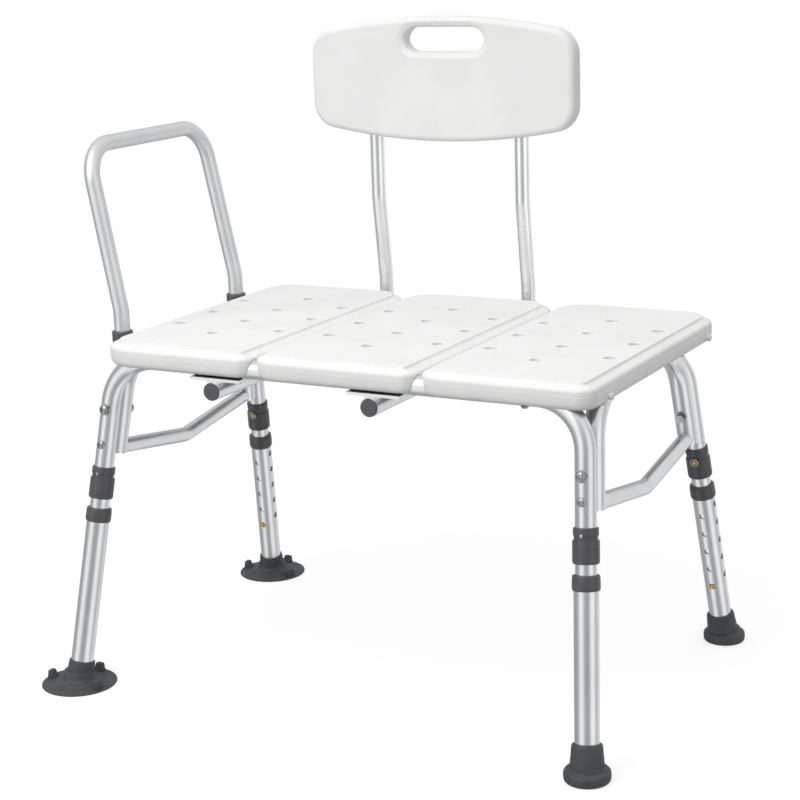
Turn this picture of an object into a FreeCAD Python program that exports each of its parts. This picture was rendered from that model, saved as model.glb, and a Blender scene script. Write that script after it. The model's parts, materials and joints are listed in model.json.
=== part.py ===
import FreeCAD, Part
import math
import os

# Bath transfer bench: three moulded seat panels and a curved backrest on a bent-tube aluminium frame,
# an arm rail over the left end and four telescopic legs, two on suction cups and two on rubber tips.
#
# Millimetres. The sitter looks along -Y, +X runs to the end without the arm rail, +Z up.
# The model is built about the middle of the four feet on the floor. At the end every piece is moved
# so that the origin is the middle of the whole bench's box, on the floor.

Vector = FreeCAD.Vector
X_AXIS, Y_AXIS, Z_AXIS = Vector(1, 0, 0), Vector(0, 1, 0), Vector(0, 0, 1)

# ---------------------------------------------------------------- driving dimensions
SEAT_TOP = 429.0            # height of the seat at the legs' shortest setting
SEAT_THICK = 30.0
SEAT_MIDDLE_Y = 42.0        # the seat overhangs the rear legs more than the front ones
SEAT_DEPTH = 431.0
PANEL_PITCH = 220.0
PANEL_WIDTH = 217.0
PANEL_CORNER = 44.0         # radius of each panel's corners
PANEL_FRONT_RIGHT = 20.0    # except the tighter one at its front right
PANEL_PLATE = 9.6           # thickness of the panel's top wall
PANEL_RIM = 9.0             # width of the panel's moulded rim
# outline of a panel's edge, as (height above its underside, inset from its widest line)
PANEL_EDGE = ((0.0, 4.6), (4.0, 1.2), (10.0, 0.0), (19.0, 0.5), (23.4, 2.6), (28.4, 11.2), (30.0, 12.8))

DRAIN_RADIUS = 7.5
DRAIN_COLUMN_X = 75.0       # outer columns, from the panel's middle
DRAIN_STEP_Y = 78.0         # between the holes of a column

FOOT_X, FOOT_Y = 345.0, 231.5   # where each leg's axis meets the floor
SPLAY_X, SPLAY_Y = 0.079, 0.193  # how far a leg leans in for each millimetre up

FRAME_TUBE = 24.0           # outer diameter of the leg frames, side frames and inner legs
LOWER_TUBE = 28.0           # outer diameter of the lower legs
TUBE_WALL = 1.5
FRAME_Z = 407.0             # axis of the tubes under the seat
FRAME_BEND = 60.0
SIDE_FRAME_INSET = 24.8     # from a leg frame's upright to the side frame's, along Y
SIDE_FRAME_END = 290.0      # lower cut end of the side frames, along the leg

# stations along a leg's axis, from the floor
LOWER_TUBE_FROM, LOWER_TUBE_TO = 9.0, 222.0
LOCK_COLLAR_FROM, LOCK_COLLAR_TO = 208.5, 226.0
INNER_TUBE_FROM, INNER_TUBE_TO = 60.0, 240.5
FRAME_TUBE_END = 242.0
SPIGOT_TO = 300.0
SLEEVE_FROM, SLEEVE_TO = 238.0, 278.0
SLEEVE_BUTTON_AT = 262.0
SLEEVE_RIVET_AT = 269.0
HOLE_FIRST, HOLE_PITCH, HOLE_COUNT = 86.0, 25.0, 5
UPPER_BOLT_AT = {-1: 350.0, 1: 334.0}   # left legs, right legs
LOWER_SCREW_AT = 306.0

SPIGOT_TUBE = 20.4          # the inner leg's swaged top end, inside the frame tube
HOLE_RADIUS = 3.9
BUTTON_RADIUS = 3.5

BRACE_TUBE = 19.0
BRACE_END_Z, BRACE_MIDDLE_Z = 291.0, 268.5
BRACE_BEND = 45.0

BACK_MIDDLE_X = -58.0       # the backrest stands to the left of the seat's middle
POST_SPREAD = 108.0
POST_TUBE = 19.0
POST_LOW_Y, POST_HIGH_Y = 282.0, 268.0
POST_JOG_Z = (441.0, 555.0)
POST_TOP = 738.0
POST_INNER_Y = 60.0
RECEIVER_TUBE = 22.2
RECEIVER_WALL = 1.2
RECEIVER_Z = 378.0
RECEIVER_Y = (-165.0, 206.0)

BACK_WIDTH = 386.0
BACK_TOP, BACK_BOTTOM = 798.5, 635.0
BACK_ARCH = 17.0            # rise of the top and bottom edges over their ends
BACK_CORNER = 35.0
BACK_FRONT_Y = 243.0
BACK_THICK = 27.0
BACK_EDGE_ROUND = 8.0
SLOT_X = -51.0
SLOT_WIDTH, SLOT_HEIGHT, SLOT_Z = 116.0, 32.0, 768.5

ARM_TUBE = 20.0
ARM_X = -345.0
ARM_Y = (-94.0, 172.0)
ARM_LOW, ARM_KINK, ARM_TOP = 388.0, 453.0, 658.0
ARM_LEAN = 0.2              # outward for each millimetre up, above the kink
ARM_NARROWING = 4.0         # each upright leans in by this much at the top
ARM_BEND = 46.0
SOCKET_TUBE = 24.2
SOCKET_BORE = 20.6
SOCKET_Z = (384.0, 424.0)

CLEARANCE = 0.5             # round a tube that lies in a moulded channel


# ---------------------------------------------------------------- shapes
def rounded_path(points, bend):
    """A wire of straight runs joined by tangent arcs of radius bend."""
    edges = []
    start = points[0]
    for before, corner, after in zip(points, points[1:], points[2:]):
        back = (before - corner).normalize()
        ahead = (after - corner).normalize()
        half = back.getAngle(ahead) / 2
        reach = bend / math.tan(half)
        enter, leave = corner + back * reach, corner + ahead * reach
        middle_way = (back + ahead).normalize()
        top = corner + middle_way * (bend / math.sin(half) - bend)
        edges.append(Part.LineSegment(start, enter).toShape())
        edges.append(Part.Arc(enter, top, leave).toShape())
        start = leave
    edges.append(Part.LineSegment(start, points[-1]).toShape())
    return Part.Wire(edges)


def rod(points, diameter, bend=1.0):
    """A solid round bar along a path."""
    start, ahead = points[0], (points[1] - points[0]).normalize()
    profile = Part.Wire(Part.makeCircle(diameter / 2, start, ahead))
    if len(points) == 2:
        return Part.Face(profile).extrude(points[1] - points[0])
    return rounded_path(points, bend).makePipeShell([profile], True, False)


def tube(points, diameter, wall, bend=1.0):
    """A round tube along a path."""
    return rod(points, diameter, bend).cut(rod(points, diameter - 2 * wall, bend))


def cylinder(start, way, radius, length):
    return Part.makeCylinder(radius, length, start, way)


def cone(start, way, radius_from, radius_to, length):
    return Part.makeCone(radius_from, radius_to, length, start, way)


def turned(outline, start=Vector(0, 0, 0)):
    """A solid turned about Z from (radius, height) points that begin and end on the axis or close up."""
    points = [start + Vector(r, 0, z) for r, z in outline]
    wire = Part.makePolygon(points + points[:1])
    return Part.Face(wire).revolve(start, Z_AXIS, 360)


def block(low, high):
    size = high - low
    return Part.makeBox(size.x, size.y, size.z, low)


def rounded_rectangle(x0, x1, y0, y1, z, corner, front_right_corner):
    """A closed wire with three equal corners and a tighter one at its front right."""
    a, b = corner, front_right_corner
    s = math.sqrt(0.5)

    def arc(cx, cy, r, turn):
        ways = [(-1, -1), (1, -1), (1, 1), (-1, 1)][turn]
        first = Vector(cx + (ways[0] * r if turn in (0, 2) else 0), cy + (ways[1] * r if turn in (1, 3) else 0), z)
        last = Vector(cx + (ways[0] * r if turn in (1, 3) else 0), cy + (ways[1] * r if turn in (0, 2) else 0), z)
        return Part.Arc(first, Vector(cx + ways[0] * r * s, cy + ways[1] * r * s, z), last)

    corners = [arc(x0 + a, y0 + a, a, 0), arc(x1 - b, y0 + b, b, 1), arc(x1 - a, y1 - a, a, 2), arc(x0 + a, y1 - a, a, 3)]
    edges = []
    for this, following in zip(corners, corners[1:] + corners[:1]):
        edges.append(this.toShape())
        edges.append(Part.LineSegment(this.EndPoint, following.StartPoint).toShape())
    return Part.Wire(edges)


def fused(shapes):
    first, *others = shapes
    return first.fuse(others).removeSplitter() if others else first


def hexagon(start, way, across_flats, height):
    """A hexagonal prism, for a nut."""
    radius = across_flats / math.sqrt(3)
    corners = [Vector(radius * math.cos(k * math.pi / 3), radius * math.sin(k * math.pi / 3), 0) for k in range(7)]
    prism = Part.Face(Part.makePolygon(corners)).extrude(Vector(0, 0, height))
    prism.Placement = FreeCAD.Placement(start, FreeCAD.Rotation(Z_AXIS, way))
    return prism


# ---------------------------------------------------------------- legs
LEGS = {  # name: (left -1 or right +1, front -1 or rear +1)
    "front_left": (-1, -1),
    "front_right": (1, -1),
    "rear_left": (-1, 1),
    "rear_right": (1, 1),
}
LEG_SCALE = math.sqrt(1 + SPLAY_X**2 + SPLAY_Y**2)  # leg length for each millimetre of height


def leg_axes(side, end):
    """Unit vectors of a leg's own frame: z up the leg, y towards the bench's middle, x across."""
    z = Vector(-side * SPLAY_X, -end * SPLAY_Y, 1).normalize()
    y = Vector(0, -end, 0)
    y = (y - z * y.dot(z)).normalize()
    return y.cross(z), y, z


def leg_placement(side, end):
    x, y, z = leg_axes(side, end)
    foot = Vector(side * FOOT_X, end * FOOT_Y, 0)
    return FreeCAD.Placement(
        FreeCAD.Matrix(x.x, y.x, z.x, foot.x, x.y, y.y, z.y, foot.y, x.z, y.z, z.z, foot.z, 0, 0, 0, 1)
    )


def on_leg(shape, side, end):
    """A shape made in a leg's own frame, put where that leg is."""
    placed = shape.copy()
    placed.Placement = leg_placement(side, end).multiply(placed.Placement)
    return placed


def leg_point(side, end, station, inset=0.0):
    """The point of a leg's axis at a station from the floor, moved towards the middle along Y."""
    z = leg_axes(side, end)[2]
    return Vector(side * FOOT_X, end * (FOOT_Y - inset), 0) + z * station


def cross_hole(station, radius, from_y, to_y):
    """A bar across a leg, along the leg frame's y."""
    return cylinder(Vector(0, from_y, station), Y_AXIS, radius, to_y - from_y)


def inner_leg_tube():
    """The fixed upper part of a leg, with its swaged top end inside the frame tube."""
    outer = fused([
        cylinder(Vector(0, 0, INNER_TUBE_FROM), Z_AXIS, FRAME_TUBE / 2, INNER_TUBE_TO - INNER_TUBE_FROM),
        cylinder(Vector(0, 0, INNER_TUBE_TO), Z_AXIS, SPIGOT_TUBE / 2, SPIGOT_TO - INNER_TUBE_TO),
    ])
    neck = 6.0
    bore = fused([
        cylinder(Vector(0, 0, INNER_TUBE_FROM), Z_AXIS, FRAME_TUBE / 2 - TUBE_WALL, INNER_TUBE_TO - neck - INNER_TUBE_FROM),
        cylinder(Vector(0, 0, INNER_TUBE_FROM), Z_AXIS, SPIGOT_TUBE / 2 - TUBE_WALL, SPIGOT_TO - INNER_TUBE_FROM),
    ])
    return outer.cut(bore).cut([
        cross_hole(HOLE_FIRST, HOLE_RADIUS, 0, LOWER_TUBE),
        cross_hole(SLEEVE_BUTTON_AT, HOLE_RADIUS, 0, LOWER_TUBE),
    ])


def lower_leg_tube():
    """The sliding lower part of a leg: one row of holes faces in, another, half a pitch up, faces sideways."""
    length = LOWER_TUBE_TO - LOWER_TUBE_FROM
    start = Vector(0, 0, LOWER_TUBE_FROM)
    shell = cylinder(start, Z_AXIS, LOWER_TUBE / 2, length)
    holes = [cylinder(start, Z_AXIS, LOWER_TUBE / 2 - TUBE_WALL, length)]
    for k in range(HOLE_COUNT):
        station = HOLE_FIRST + k * HOLE_PITCH
        holes.append(cross_hole(station, HOLE_RADIUS, 0, LOWER_TUBE))
        holes.append(cylinder(Vector(0, 0, station + HOLE_PITCH / 2), -X_AXIS, HOLE_RADIUS, LOWER_TUBE))
    return shell.cut(holes)


def lock_collar():
    """The plastic collar on the top end of a lower leg."""
    r, lip, bevel = 15.5, 12.4, 2.0
    return turned([
        (lip, LOWER_TUBE_TO), (LOWER_TUBE / 2, LOWER_TUBE_TO), (LOWER_TUBE / 2, LOCK_COLLAR_FROM),
        (r - bevel / 2, LOCK_COLLAR_FROM), (r, LOCK_COLLAR_FROM + bevel), (r, LOCK_COLLAR_TO - bevel),
        (r - bevel / 2, LOCK_COLLAR_TO), (lip, LOCK_COLLAR_TO),
    ])


def coupling_sleeve():
    """The plastic sleeve over the joint of frame tube and leg: a ring, a groove and a thicker barrel."""
    bore, ring, groove, barrel = FRAME_TUBE / 2, 14.2, 13.2, 15.2
    body = turned([
        (bore, SLEEVE_FROM), (barrel - 1.5, SLEEVE_FROM), (barrel, SLEEVE_FROM + 3), (barrel, SLEEVE_TO - 15),
        (groove, SLEEVE_TO - 12), (groove, SLEEVE_TO - 10), (ring, SLEEVE_TO - 9), (ring, SLEEVE_TO - 1),
        (ring - 1, SLEEVE_TO), (bore, SLEEVE_TO),
    ])
    return body.cut([
        cross_hole(SLEEVE_BUTTON_AT, HOLE_RADIUS, 0, LOWER_TUBE),
        cross_hole(SLEEVE_RIVET_AT, RIVET_RADIUS, -LOWER_TUBE, 0),
    ])


RIVET_RADIUS = 1.8


def sleeve_rivet():
    """The rivet that holds the sleeve on the frame tube, on the leg's outer side."""
    shank = cross_hole(SLEEVE_RIVET_AT, RIVET_RADIUS, -14.2, -10.2)
    head = cone(Vector(0, -14.2, SLEEVE_RIVET_AT), -Y_AXIS, 3.0, 1.6, 1.3)
    return shank.fuse(head)


def snap_button(station, inner_wall, reach):
    """A brass snap button: a collar inside the tube and a domed pin out through its hole."""
    collar = cross_hole(station, 4.8, inner_wall - BUTTON_SEAT, inner_wall - 1.8)
    pin = cross_hole(station, BUTTON_RADIUS, inner_wall - 1.8, reach - 1.4)
    dome = cone(Vector(0, reach - 1.4, station), Y_AXIS, BUTTON_RADIUS, 1.8, 1.4)
    return fused([collar, pin, dome])


BUTTON_SEAT = 3.0  # from a tube's bore to the back of a snap button


def snap_spring(station, inner_wall):
    """The V-shaped leaf spring behind a snap button, inside the tube."""
    leaf, width, length = 0.8, 7.0, 25.0
    front = inner_wall - BUTTON_SEAT
    back = -(inner_wall - 0.9)
    bend_radius = (front - back) / 2
    middle = Vector(0, (front + back) / 2, station - length + bend_radius)
    half_ring = cylinder(middle - X_AXIS * width / 2, X_AXIS, bend_radius, width).cut([
        cylinder(middle - X_AXIS * width, X_AXIS, bend_radius - leaf, 2 * width),
        block(middle + Vector(-width, -2 * bend_radius, 0), middle + Vector(width, 2 * bend_radius, 2 * bend_radius)),
    ])
    leaves = [
        block(Vector(-width / 2, front - leaf, middle.z), Vector(width / 2, front, station + 5)),
        block(Vector(-width / 2, back, middle.z), Vector(width / 2, back + leaf, station - 4)),
    ]
    return fused([half_ring] + leaves)


def suction_foot():
    """A rubber suction cup: its rim lies flat on the floor and its socket follows the leg."""
    rim, hub = 47.0, 19.0
    cup = turned([
        (0, 3.2), (rim - 8, 2.4), (rim - 5, 0), (rim, 0), (rim, 2.2), (rim - 5, 4.4), (hub + 6, 10.5),
        (hub, 16.0), (0, 16.0),
    ])
    tabs = []
    for angle in (85, 205, 325):
        tab = block(Vector(rim - 9, -5.5, 1.0), Vector(rim + 5.0, 5.5, 4.5))
        tab = tab.fuse(block(Vector(rim + 1.5, -5.5, 1.0), Vector(rim + 5.0, 5.5, 9.0)))
        tab.rotate(Vector(0, 0, 0), Z_AXIS, angle)
        tabs.append(tab)
    return cup, tabs


def foot(side, end):
    """The foot of one leg, cut to lie on the floor and bored for the lower leg."""
    at = Vector(side * FOOT_X, end * FOOT_Y, 0)
    if side < 0:
        cup, tabs = suction_foot()
        pieces = [cup] + tabs
        socket = turned([(0, 6), (17.5, 6), (16.2, 27), (15.2, 30), (0, 30)])
    else:
        pieces = [turned([(0, 0), (25.0, 0), (26.6, 1.5), (26.6, 8.5), (25.0, 10.5), (21.0, 12.5), (0, 12.5)])]
        socket = turned([(0, 6), (20.5, 6), (18.4, 22), (17.4, 38), (16.0, 41), (0, 41)])
    body = fused([piece.translated(at) for piece in pieces] + [on_leg(socket, side, end)])
    below = block(Vector(-900, -900, -100), Vector(900, 900, 0))
    bore = cylinder(Vector(0, 0, LOWER_TUBE_FROM), Z_AXIS, LOWER_TUBE / 2, 60)
    return body.cut([below, on_leg(bore, side, end)])


# ---------------------------------------------------------------- frame
def leg_frame_points(end):
    corner = FRAME_Z * LEG_SCALE
    left, right = LEGS_OF_END[end]
    return [
        leg_point(left, end, FRAME_TUBE_END), leg_point(left, end, corner),
        leg_point(right, end, corner), leg_point(right, end, FRAME_TUBE_END),
    ]


LEGS_OF_END = {-1: (-1, 1), 1: (-1, 1)}


def side_frame_points(side):
    corner = FRAME_Z * LEG_SCALE
    return [
        leg_point(side, -1, SIDE_FRAME_END, SIDE_FRAME_INSET), leg_point(side, -1, corner, SIDE_FRAME_INSET),
        leg_point(side, 1, corner, SIDE_FRAME_INSET), leg_point(side, 1, SIDE_FRAME_END, SIDE_FRAME_INSET),
    ]


def bolt_holes(side, end, radius):
    """Bars through a leg frame's and a side frame's uprights, where they are bolted together."""
    return [
        on_leg(cross_hole(UPPER_BOLT_AT[side], radius, -40, 60), side, end),
        on_leg(cross_hole(LOWER_SCREW_AT, radius, -40, 24), side, end),
    ]


def screw_places():
    """Every screw that goes up through a rail into the seat: (x, y, z of what its head bears on)."""
    rail_y = leg_point(1, 1, FRAME_Z * LEG_SCALE).y
    rail_bottom = FRAME_Z - FRAME_TUBE / 2
    for y in (-rail_y, rail_y):
        yield Vector(RIGHT_PANEL_SCREW_X, y, rail_bottom)
        for x in RECEIVER_X:
            for step in (-STRAP_SCREW_X, STRAP_SCREW_X):
                yield Vector(x + STRAP_SHIFT_X + step, y, rail_bottom - STRAP_THICK)


RIGHT_PANEL_SCREW_X = 241.0
RECEIVER_X = (BACK_MIDDLE_X - POST_SPREAD, BACK_MIDDLE_X + POST_SPREAD)
STRAP_LENGTH, STRAP_WIDTH, STRAP_THICK = 70.0, 26.0, 3.5
STRAP_SHIFT_X, STRAP_SCREW_X = 5.0, 27.0
SEAT_SCREW_RADIUS = 2.5
SEAT_SCREW_TIP = SEAT_TOP - 3.0


def seat_screw(place):
    shank = cylinder(place, Z_AXIS, SEAT_SCREW_RADIUS, SEAT_SCREW_TIP - place.z)
    head = cone(place, -Z_AXIS, 5.0, 3.4, 2.8)
    return shank.fuse(head)


def leg_frame(end):
    """An inverted U of bent tube whose uprights end in the coupling sleeves."""
    frame = tube(leg_frame_points(end), FRAME_TUBE, TUBE_WALL, FRAME_BEND)
    holes = []
    for side in (-1, 1):
        holes += bolt_holes(side, end, BOLT_RADIUS)
        holes.append(on_leg(cross_hole(SLEEVE_BUTTON_AT, HOLE_RADIUS, 0, LOWER_TUBE), side, end))
        holes.append(on_leg(cross_hole(SLEEVE_RIVET_AT, RIVET_RADIUS, -LOWER_TUBE, 0), side, end))
    for place in screw_places():
        if place.y * end > 0:
            holes.append(cylinder(place, Z_AXIS, SEAT_SCREW_RADIUS, SEAT_SCREW_TIP - place.z))
    return frame.cut(holes)


BOLT_RADIUS = 3.0


def side_frame(side):
    """An inverted U of bent tube between a front and a rear leg, inside the leg frames."""
    frame = tube(side_frame_points(side), FRAME_TUBE, TUBE_WALL, FRAME_BEND)
    return frame.cut([hole for end in (-1, 1) for hole in bolt_holes(side, end, BOLT_RADIUS)])


def brace(side):
    """The shallow V of smaller tube welded between a side frame's uprights."""
    ends = [leg_point(side, end, BRACE_END_Z * LEG_SCALE, SIDE_FRAME_INSET) for end in (-1, 1)]
    x = leg_point(side, -1, BRACE_MIDDLE_Z * LEG_SCALE).x
    points = [ends[0], Vector(x, 0, BRACE_MIDDLE_Z), ends[1]]
    bent = tube(points, BRACE_TUBE, TUBE_WALL, BRACE_BEND)
    return bent.cut(rod(side_frame_points(side), FRAME_TUBE, FRAME_BEND))


def frame_bolt(side):
    """The bolt through both uprights, from outside to the nut inside."""
    at = UPPER_BOLT_AT[side]
    face = -FRAME_TUBE / 2 - WASHER_THICK
    shank = cross_hole(at, BOLT_RADIUS, face, BOLT_TIP_Y)
    head = cone(Vector(0, face, at), -Y_AXIS, 6.0, 3.8, 3.6)
    return shank.fuse(head)


WASHER_THICK = 1.6
# a side frame's upright from the leg's axis, square to the leg
SIDE_FRAME_OFFSET = SIDE_FRAME_INSET * math.sqrt(1 - (SPLAY_Y / LEG_SCALE) ** 2)
BOLT_TIP_Y = SIDE_FRAME_OFFSET + FRAME_TUBE / 2 + WASHER_THICK + 6.5


def frame_washers(side):
    """The saddle washers under the bolt's head and nut, hollowed to fit the tubes."""
    at = UPPER_BOLT_AT[side]
    washers = []
    for axis_y, way in ((0.0, -1), (SIDE_FRAME_OFFSET, 1)):
        start = axis_y + way * (FRAME_TUBE / 2 + WASHER_THICK)
        disc = cylinder(Vector(0, start, at), Vector(0, -way, 0), 7.2, 5.0)
        disc = disc.cut(cylinder(Vector(0, axis_y, at - 30), Z_AXIS, FRAME_TUBE / 2, 60))
        washers.append(disc.cut(cross_hole(at, BOLT_RADIUS, -60, 60)))
    return washers


def frame_nut(side):
    at = UPPER_BOLT_AT[side]
    face = SIDE_FRAME_OFFSET + FRAME_TUBE / 2 + WASHER_THICK
    nut = hexagon(Vector(0, face, at), Y_AXIS, 10.0, 5.0)
    return nut.cut(cross_hole(at, BOLT_RADIUS, -60, 60))


def frame_screw():
    """The shorter screw below the bolt, which ends inside the side frame's tube."""
    shank = cross_hole(LOWER_SCREW_AT, BOLT_RADIUS, -FRAME_TUBE / 2, 22.0)
    head = cone(Vector(0, -FRAME_TUBE / 2, LOWER_SCREW_AT), -Y_AXIS, 5.4, 3.4, 3.2)
    cradle = cylinder(Vector(0, 0, LOWER_SCREW_AT - 30), Z_AXIS, FRAME_TUBE / 2, 60)
    collar = cross_hole(LOWER_SCREW_AT, 5.4, -FRAME_TUBE / 2, -FRAME_TUBE / 2 + 4).cut(cradle)
    return fused([shank, head, collar])


# ---------------------------------------------------------------- seat
def seat_panel(index):
    """One moulded panel, -1 left, 0 middle, 1 right: a dished rim under a flat top with drain holes."""
    middle = index * PANEL_PITCH
    x0, x1 = middle - PANEL_WIDTH / 2, middle + PANEL_WIDTH / 2
    y0, y1 = SEAT_MIDDLE_Y - SEAT_DEPTH / 2, SEAT_MIDDLE_Y + SEAT_DEPTH / 2
    bottom = SEAT_TOP - SEAT_THICK

    def outline(height, inset):
        sides = x0 + inset, x1 - inset, y0 + inset, y1 - inset
        return rounded_rectangle(*sides, bottom + height, PANEL_CORNER - inset, PANEL_FRONT_RIGHT - inset)

    body = Part.makeLoft([outline(*edge) for edge in PANEL_EDGE], True, True)
    pocket = Part.Face(outline(-1.0, PANEL_RIM)).extrude(Vector(0, 0, SEAT_THICK - PANEL_PLATE + 1.0))
    cuts = [pocket]
    for end in (-1, 1):
        cuts.append(rod(leg_frame_points(end), FRAME_TUBE + 2 * CLEARANCE, FRAME_BEND))
    for side in (-1, 1):
        if side == index:
            cuts.append(rod(side_frame_points(side), FRAME_TUBE + 2 * CLEARANCE, FRAME_BEND))
    for column, rows in ((-1, (-1, 0, 1)), (0, (-1.5, -0.5, 0.5, 1.5)), (1, (-1, 0, 1))):
        for row in rows:
            place = Vector(middle + column * DRAIN_COLUMN_X, SEAT_MIDDLE_Y + row * DRAIN_STEP_Y, bottom - 1)
            cuts.append(cylinder(place, Z_AXIS, DRAIN_RADIUS, SEAT_THICK + 2))
    for place in screw_places():
        if x0 < place.x < x1:
            cuts.append(cylinder(place, Z_AXIS, SEAT_SCREW_RADIUS, SEAT_SCREW_TIP - place.z))
    cuts += pin_bars(x0, -1) + pin_bars(x1, 1)
    return body.cut(cuts)


PIN_RADIUS, PIN_Z = 4.0, 406.0
PIN_SPREAD_Y = 162.0
PIN_IN, PIN_OUT = 6.0, 4.5


def pin_bars(x, way, inwards=PIN_IN, outwards=PIN_OUT):
    """Bars along X through a panel's side wall at the two locating pins."""
    start = x - inwards if way > 0 else x - outwards
    length = inwards + outwards
    return [
        cylinder(Vector(start, SEAT_MIDDLE_Y + dy, PIN_Z), X_AXIS, PIN_RADIUS, length)
        for dy in (-PIN_SPREAD_Y, PIN_SPREAD_Y)
    ]


# ---------------------------------------------------------------- backrest
def post_points(x):
    jog_low, jog_high = POST_JOG_Z
    return [
        Vector(x, POST_INNER_Y, RECEIVER_Z), Vector(x, POST_LOW_Y, RECEIVER_Z), Vector(x, POST_LOW_Y, jog_low),
        Vector(x, POST_HIGH_Y, jog_high), Vector(x, POST_HIGH_Y, POST_TOP),
    ]


POST_BEND = 36.0


def back_outline():
    """The backrest's outline in the XZ plane: straight sides, round corners, arched top and bottom."""
    half = BACK_WIDTH / 2
    middle_z = (BACK_TOP + BACK_BOTTOM) / 2
    rise = (BACK_TOP - BACK_BOTTOM) / 2
    chord = half - BACK_CORNER * 0.6
    arch = (chord**2 + BACK_ARCH**2) / (2 * BACK_ARCH)
    # the corner arc touches the straight side and the arch
    corner_x = half - BACK_CORNER
    corner_z = rise - arch + math.sqrt((arch - BACK_CORNER) ** 2 - corner_x**2)
    away = math.atan2(corner_x, corner_z - (rise - arch))
    touch = Vector(arch * math.sin(away), 0, rise - arch + arch * math.cos(away))
    between = (math.pi / 2 - away) / 2
    mid_arc = Vector(corner_x + BACK_CORNER * math.cos(between), 0, corner_z + BACK_CORNER * math.sin(between))
    side = Vector(half, 0, corner_z)
    top = Vector(0, 0, rise)

    def put(p, sx, sz):
        return Vector(BACK_MIDDLE_X + sx * p.x, 0, middle_z + sz * p.z)

    edges = [
        Part.Arc(put(touch, -1, 1), put(top, 1, 1), put(touch, 1, 1)).toShape(),
        Part.Arc(put(touch, 1, 1), put(mid_arc, 1, 1), put(side, 1, 1)).toShape(),
        Part.LineSegment(put(side, 1, 1), put(side, 1, -1)).toShape(),
        Part.Arc(put(side, 1, -1), put(mid_arc, 1, -1), put(touch, 1, -1)).toShape(),
        Part.Arc(put(touch, 1, -1), put(top, 1, -1), put(touch, -1, -1)).toShape(),
        Part.Arc(put(touch, -1, -1), put(mid_arc, -1, -1), put(side, -1, -1)).toShape(),
        Part.LineSegment(put(side, -1, -1), put(side, -1, 1)).toShape(),
        Part.Arc(put(side, -1, 1), put(mid_arc, -1, 1), put(touch, -1, 1)).toShape(),
    ]
    return Part.Wire(edges)


def backrest_panel():
    """The moulded backrest, with a hand slot, and channels for its posts behind."""
    outline = back_outline()
    outline.translate(Vector(0, BACK_FRONT_Y, 0))
    body = Part.Face(outline).extrude(Vector(0, BACK_THICK, 0))
    broad = [f for f in body.Faces if isinstance(f.Surface, Part.Plane) and abs(f.Surface.Axis.y) > 0.9]
    body = body.makeFillet(BACK_EDGE_ROUND, [edge for face in broad for edge in face.Edges])
    half, low, deep = (SLOT_WIDTH - SLOT_HEIGHT) / 2, SLOT_Z - SLOT_HEIGHT / 2, BACK_THICK + 40
    start = BACK_FRONT_Y - 20
    cuts = [
        block(Vector(SLOT_X - half, start, low), Vector(SLOT_X + half, start + deep, low + SLOT_HEIGHT)),
        cylinder(Vector(SLOT_X - half, start, SLOT_Z), Y_AXIS, SLOT_HEIGHT / 2, deep),
        cylinder(Vector(SLOT_X + half, start, SLOT_Z), Y_AXIS, SLOT_HEIGHT / 2, deep),
    ]
    below, above, gap = BACK_BOTTOM - 40, POST_TOP + 2, POST_TUBE / 2 + CHANNEL_GAP
    for x in RECEIVER_X:
        cuts.append(cylinder(Vector(x, POST_HIGH_Y, below), Z_AXIS, gap, above - below))
        cuts.append(block(Vector(x - gap, POST_HIGH_Y, below), Vector(x + gap, POST_HIGH_Y + 60, above)))
        cuts += [cylinder(Vector(x, BACK_SCREW_TIP_Y, z), Y_AXIS, BACK_SCREW_RADIUS, 60) for z in BACK_SCREW_Z]
    return body.cut(cuts)


CHANNEL_GAP = 0.3
BACK_SCREW_Z = (668.0, 722.0)
BACK_SCREW_RADIUS = 2.5
BACK_SCREW_TIP_Y = 252.0


def back_screw(x, z):
    face = POST_HIGH_Y + POST_TUBE / 2
    shank = cylinder(Vector(x, BACK_SCREW_TIP_Y, z), Y_AXIS, BACK_SCREW_RADIUS, face - BACK_SCREW_TIP_Y)
    head = cone(Vector(x, face, z), Y_AXIS, 4.8, 3.2, 2.6)
    return shank.fuse(head)


def back_post(x):
    """A bent post: its lower end slides into the receiver, its upper end lies in the backrest's channel."""
    post = tube(post_points(x), POST_TUBE, TUBE_WALL, POST_BEND)
    return post.cut([cylinder(Vector(x, BACK_SCREW_TIP_Y, z), Y_AXIS, BACK_SCREW_RADIUS, 60) for z in BACK_SCREW_Z])


def receiver(x):
    start, end = RECEIVER_Y
    return tube([Vector(x, start, RECEIVER_Z), Vector(x, end, RECEIVER_Z)], RECEIVER_TUBE, RECEIVER_WALL)


def receiver_cap(x):
    """The plug in a receiver's front end."""
    start = Vector(x, RECEIVER_Y[0], RECEIVER_Z)
    bore = RECEIVER_TUBE / 2 - RECEIVER_WALL
    face = cylinder(start, -Y_AXIS, RECEIVER_TUBE / 2 - 0.4, 2.0)
    return face.fuse(cylinder(start, Y_AXIS, bore, 14))


def strap_and_saddle(x, y):
    """The strap under a rail and the saddle welded between it and the receiver."""
    top = FRAME_Z - FRAME_TUBE / 2
    middle = x + STRAP_SHIFT_X
    strap = block(Vector(middle - STRAP_LENGTH / 2, y - STRAP_WIDTH / 2, top - STRAP_THICK),
                  Vector(middle + STRAP_LENGTH / 2, y + STRAP_WIDTH / 2, top))
    saddle = block(Vector(x - 7, y - 11, RECEIVER_Z + 7), Vector(x + 7, y + 11, top - STRAP_THICK))
    saddle = saddle.cut(cylinder(Vector(x, y - 40, RECEIVER_Z), Y_AXIS, RECEIVER_TUBE / 2, 80))
    holes = [cylinder(place - Z_AXIS, Z_AXIS, SEAT_SCREW_RADIUS, 20) for place in screw_places() if place.y * y > 0]
    return strap.fuse(saddle).cut(holes)


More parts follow.
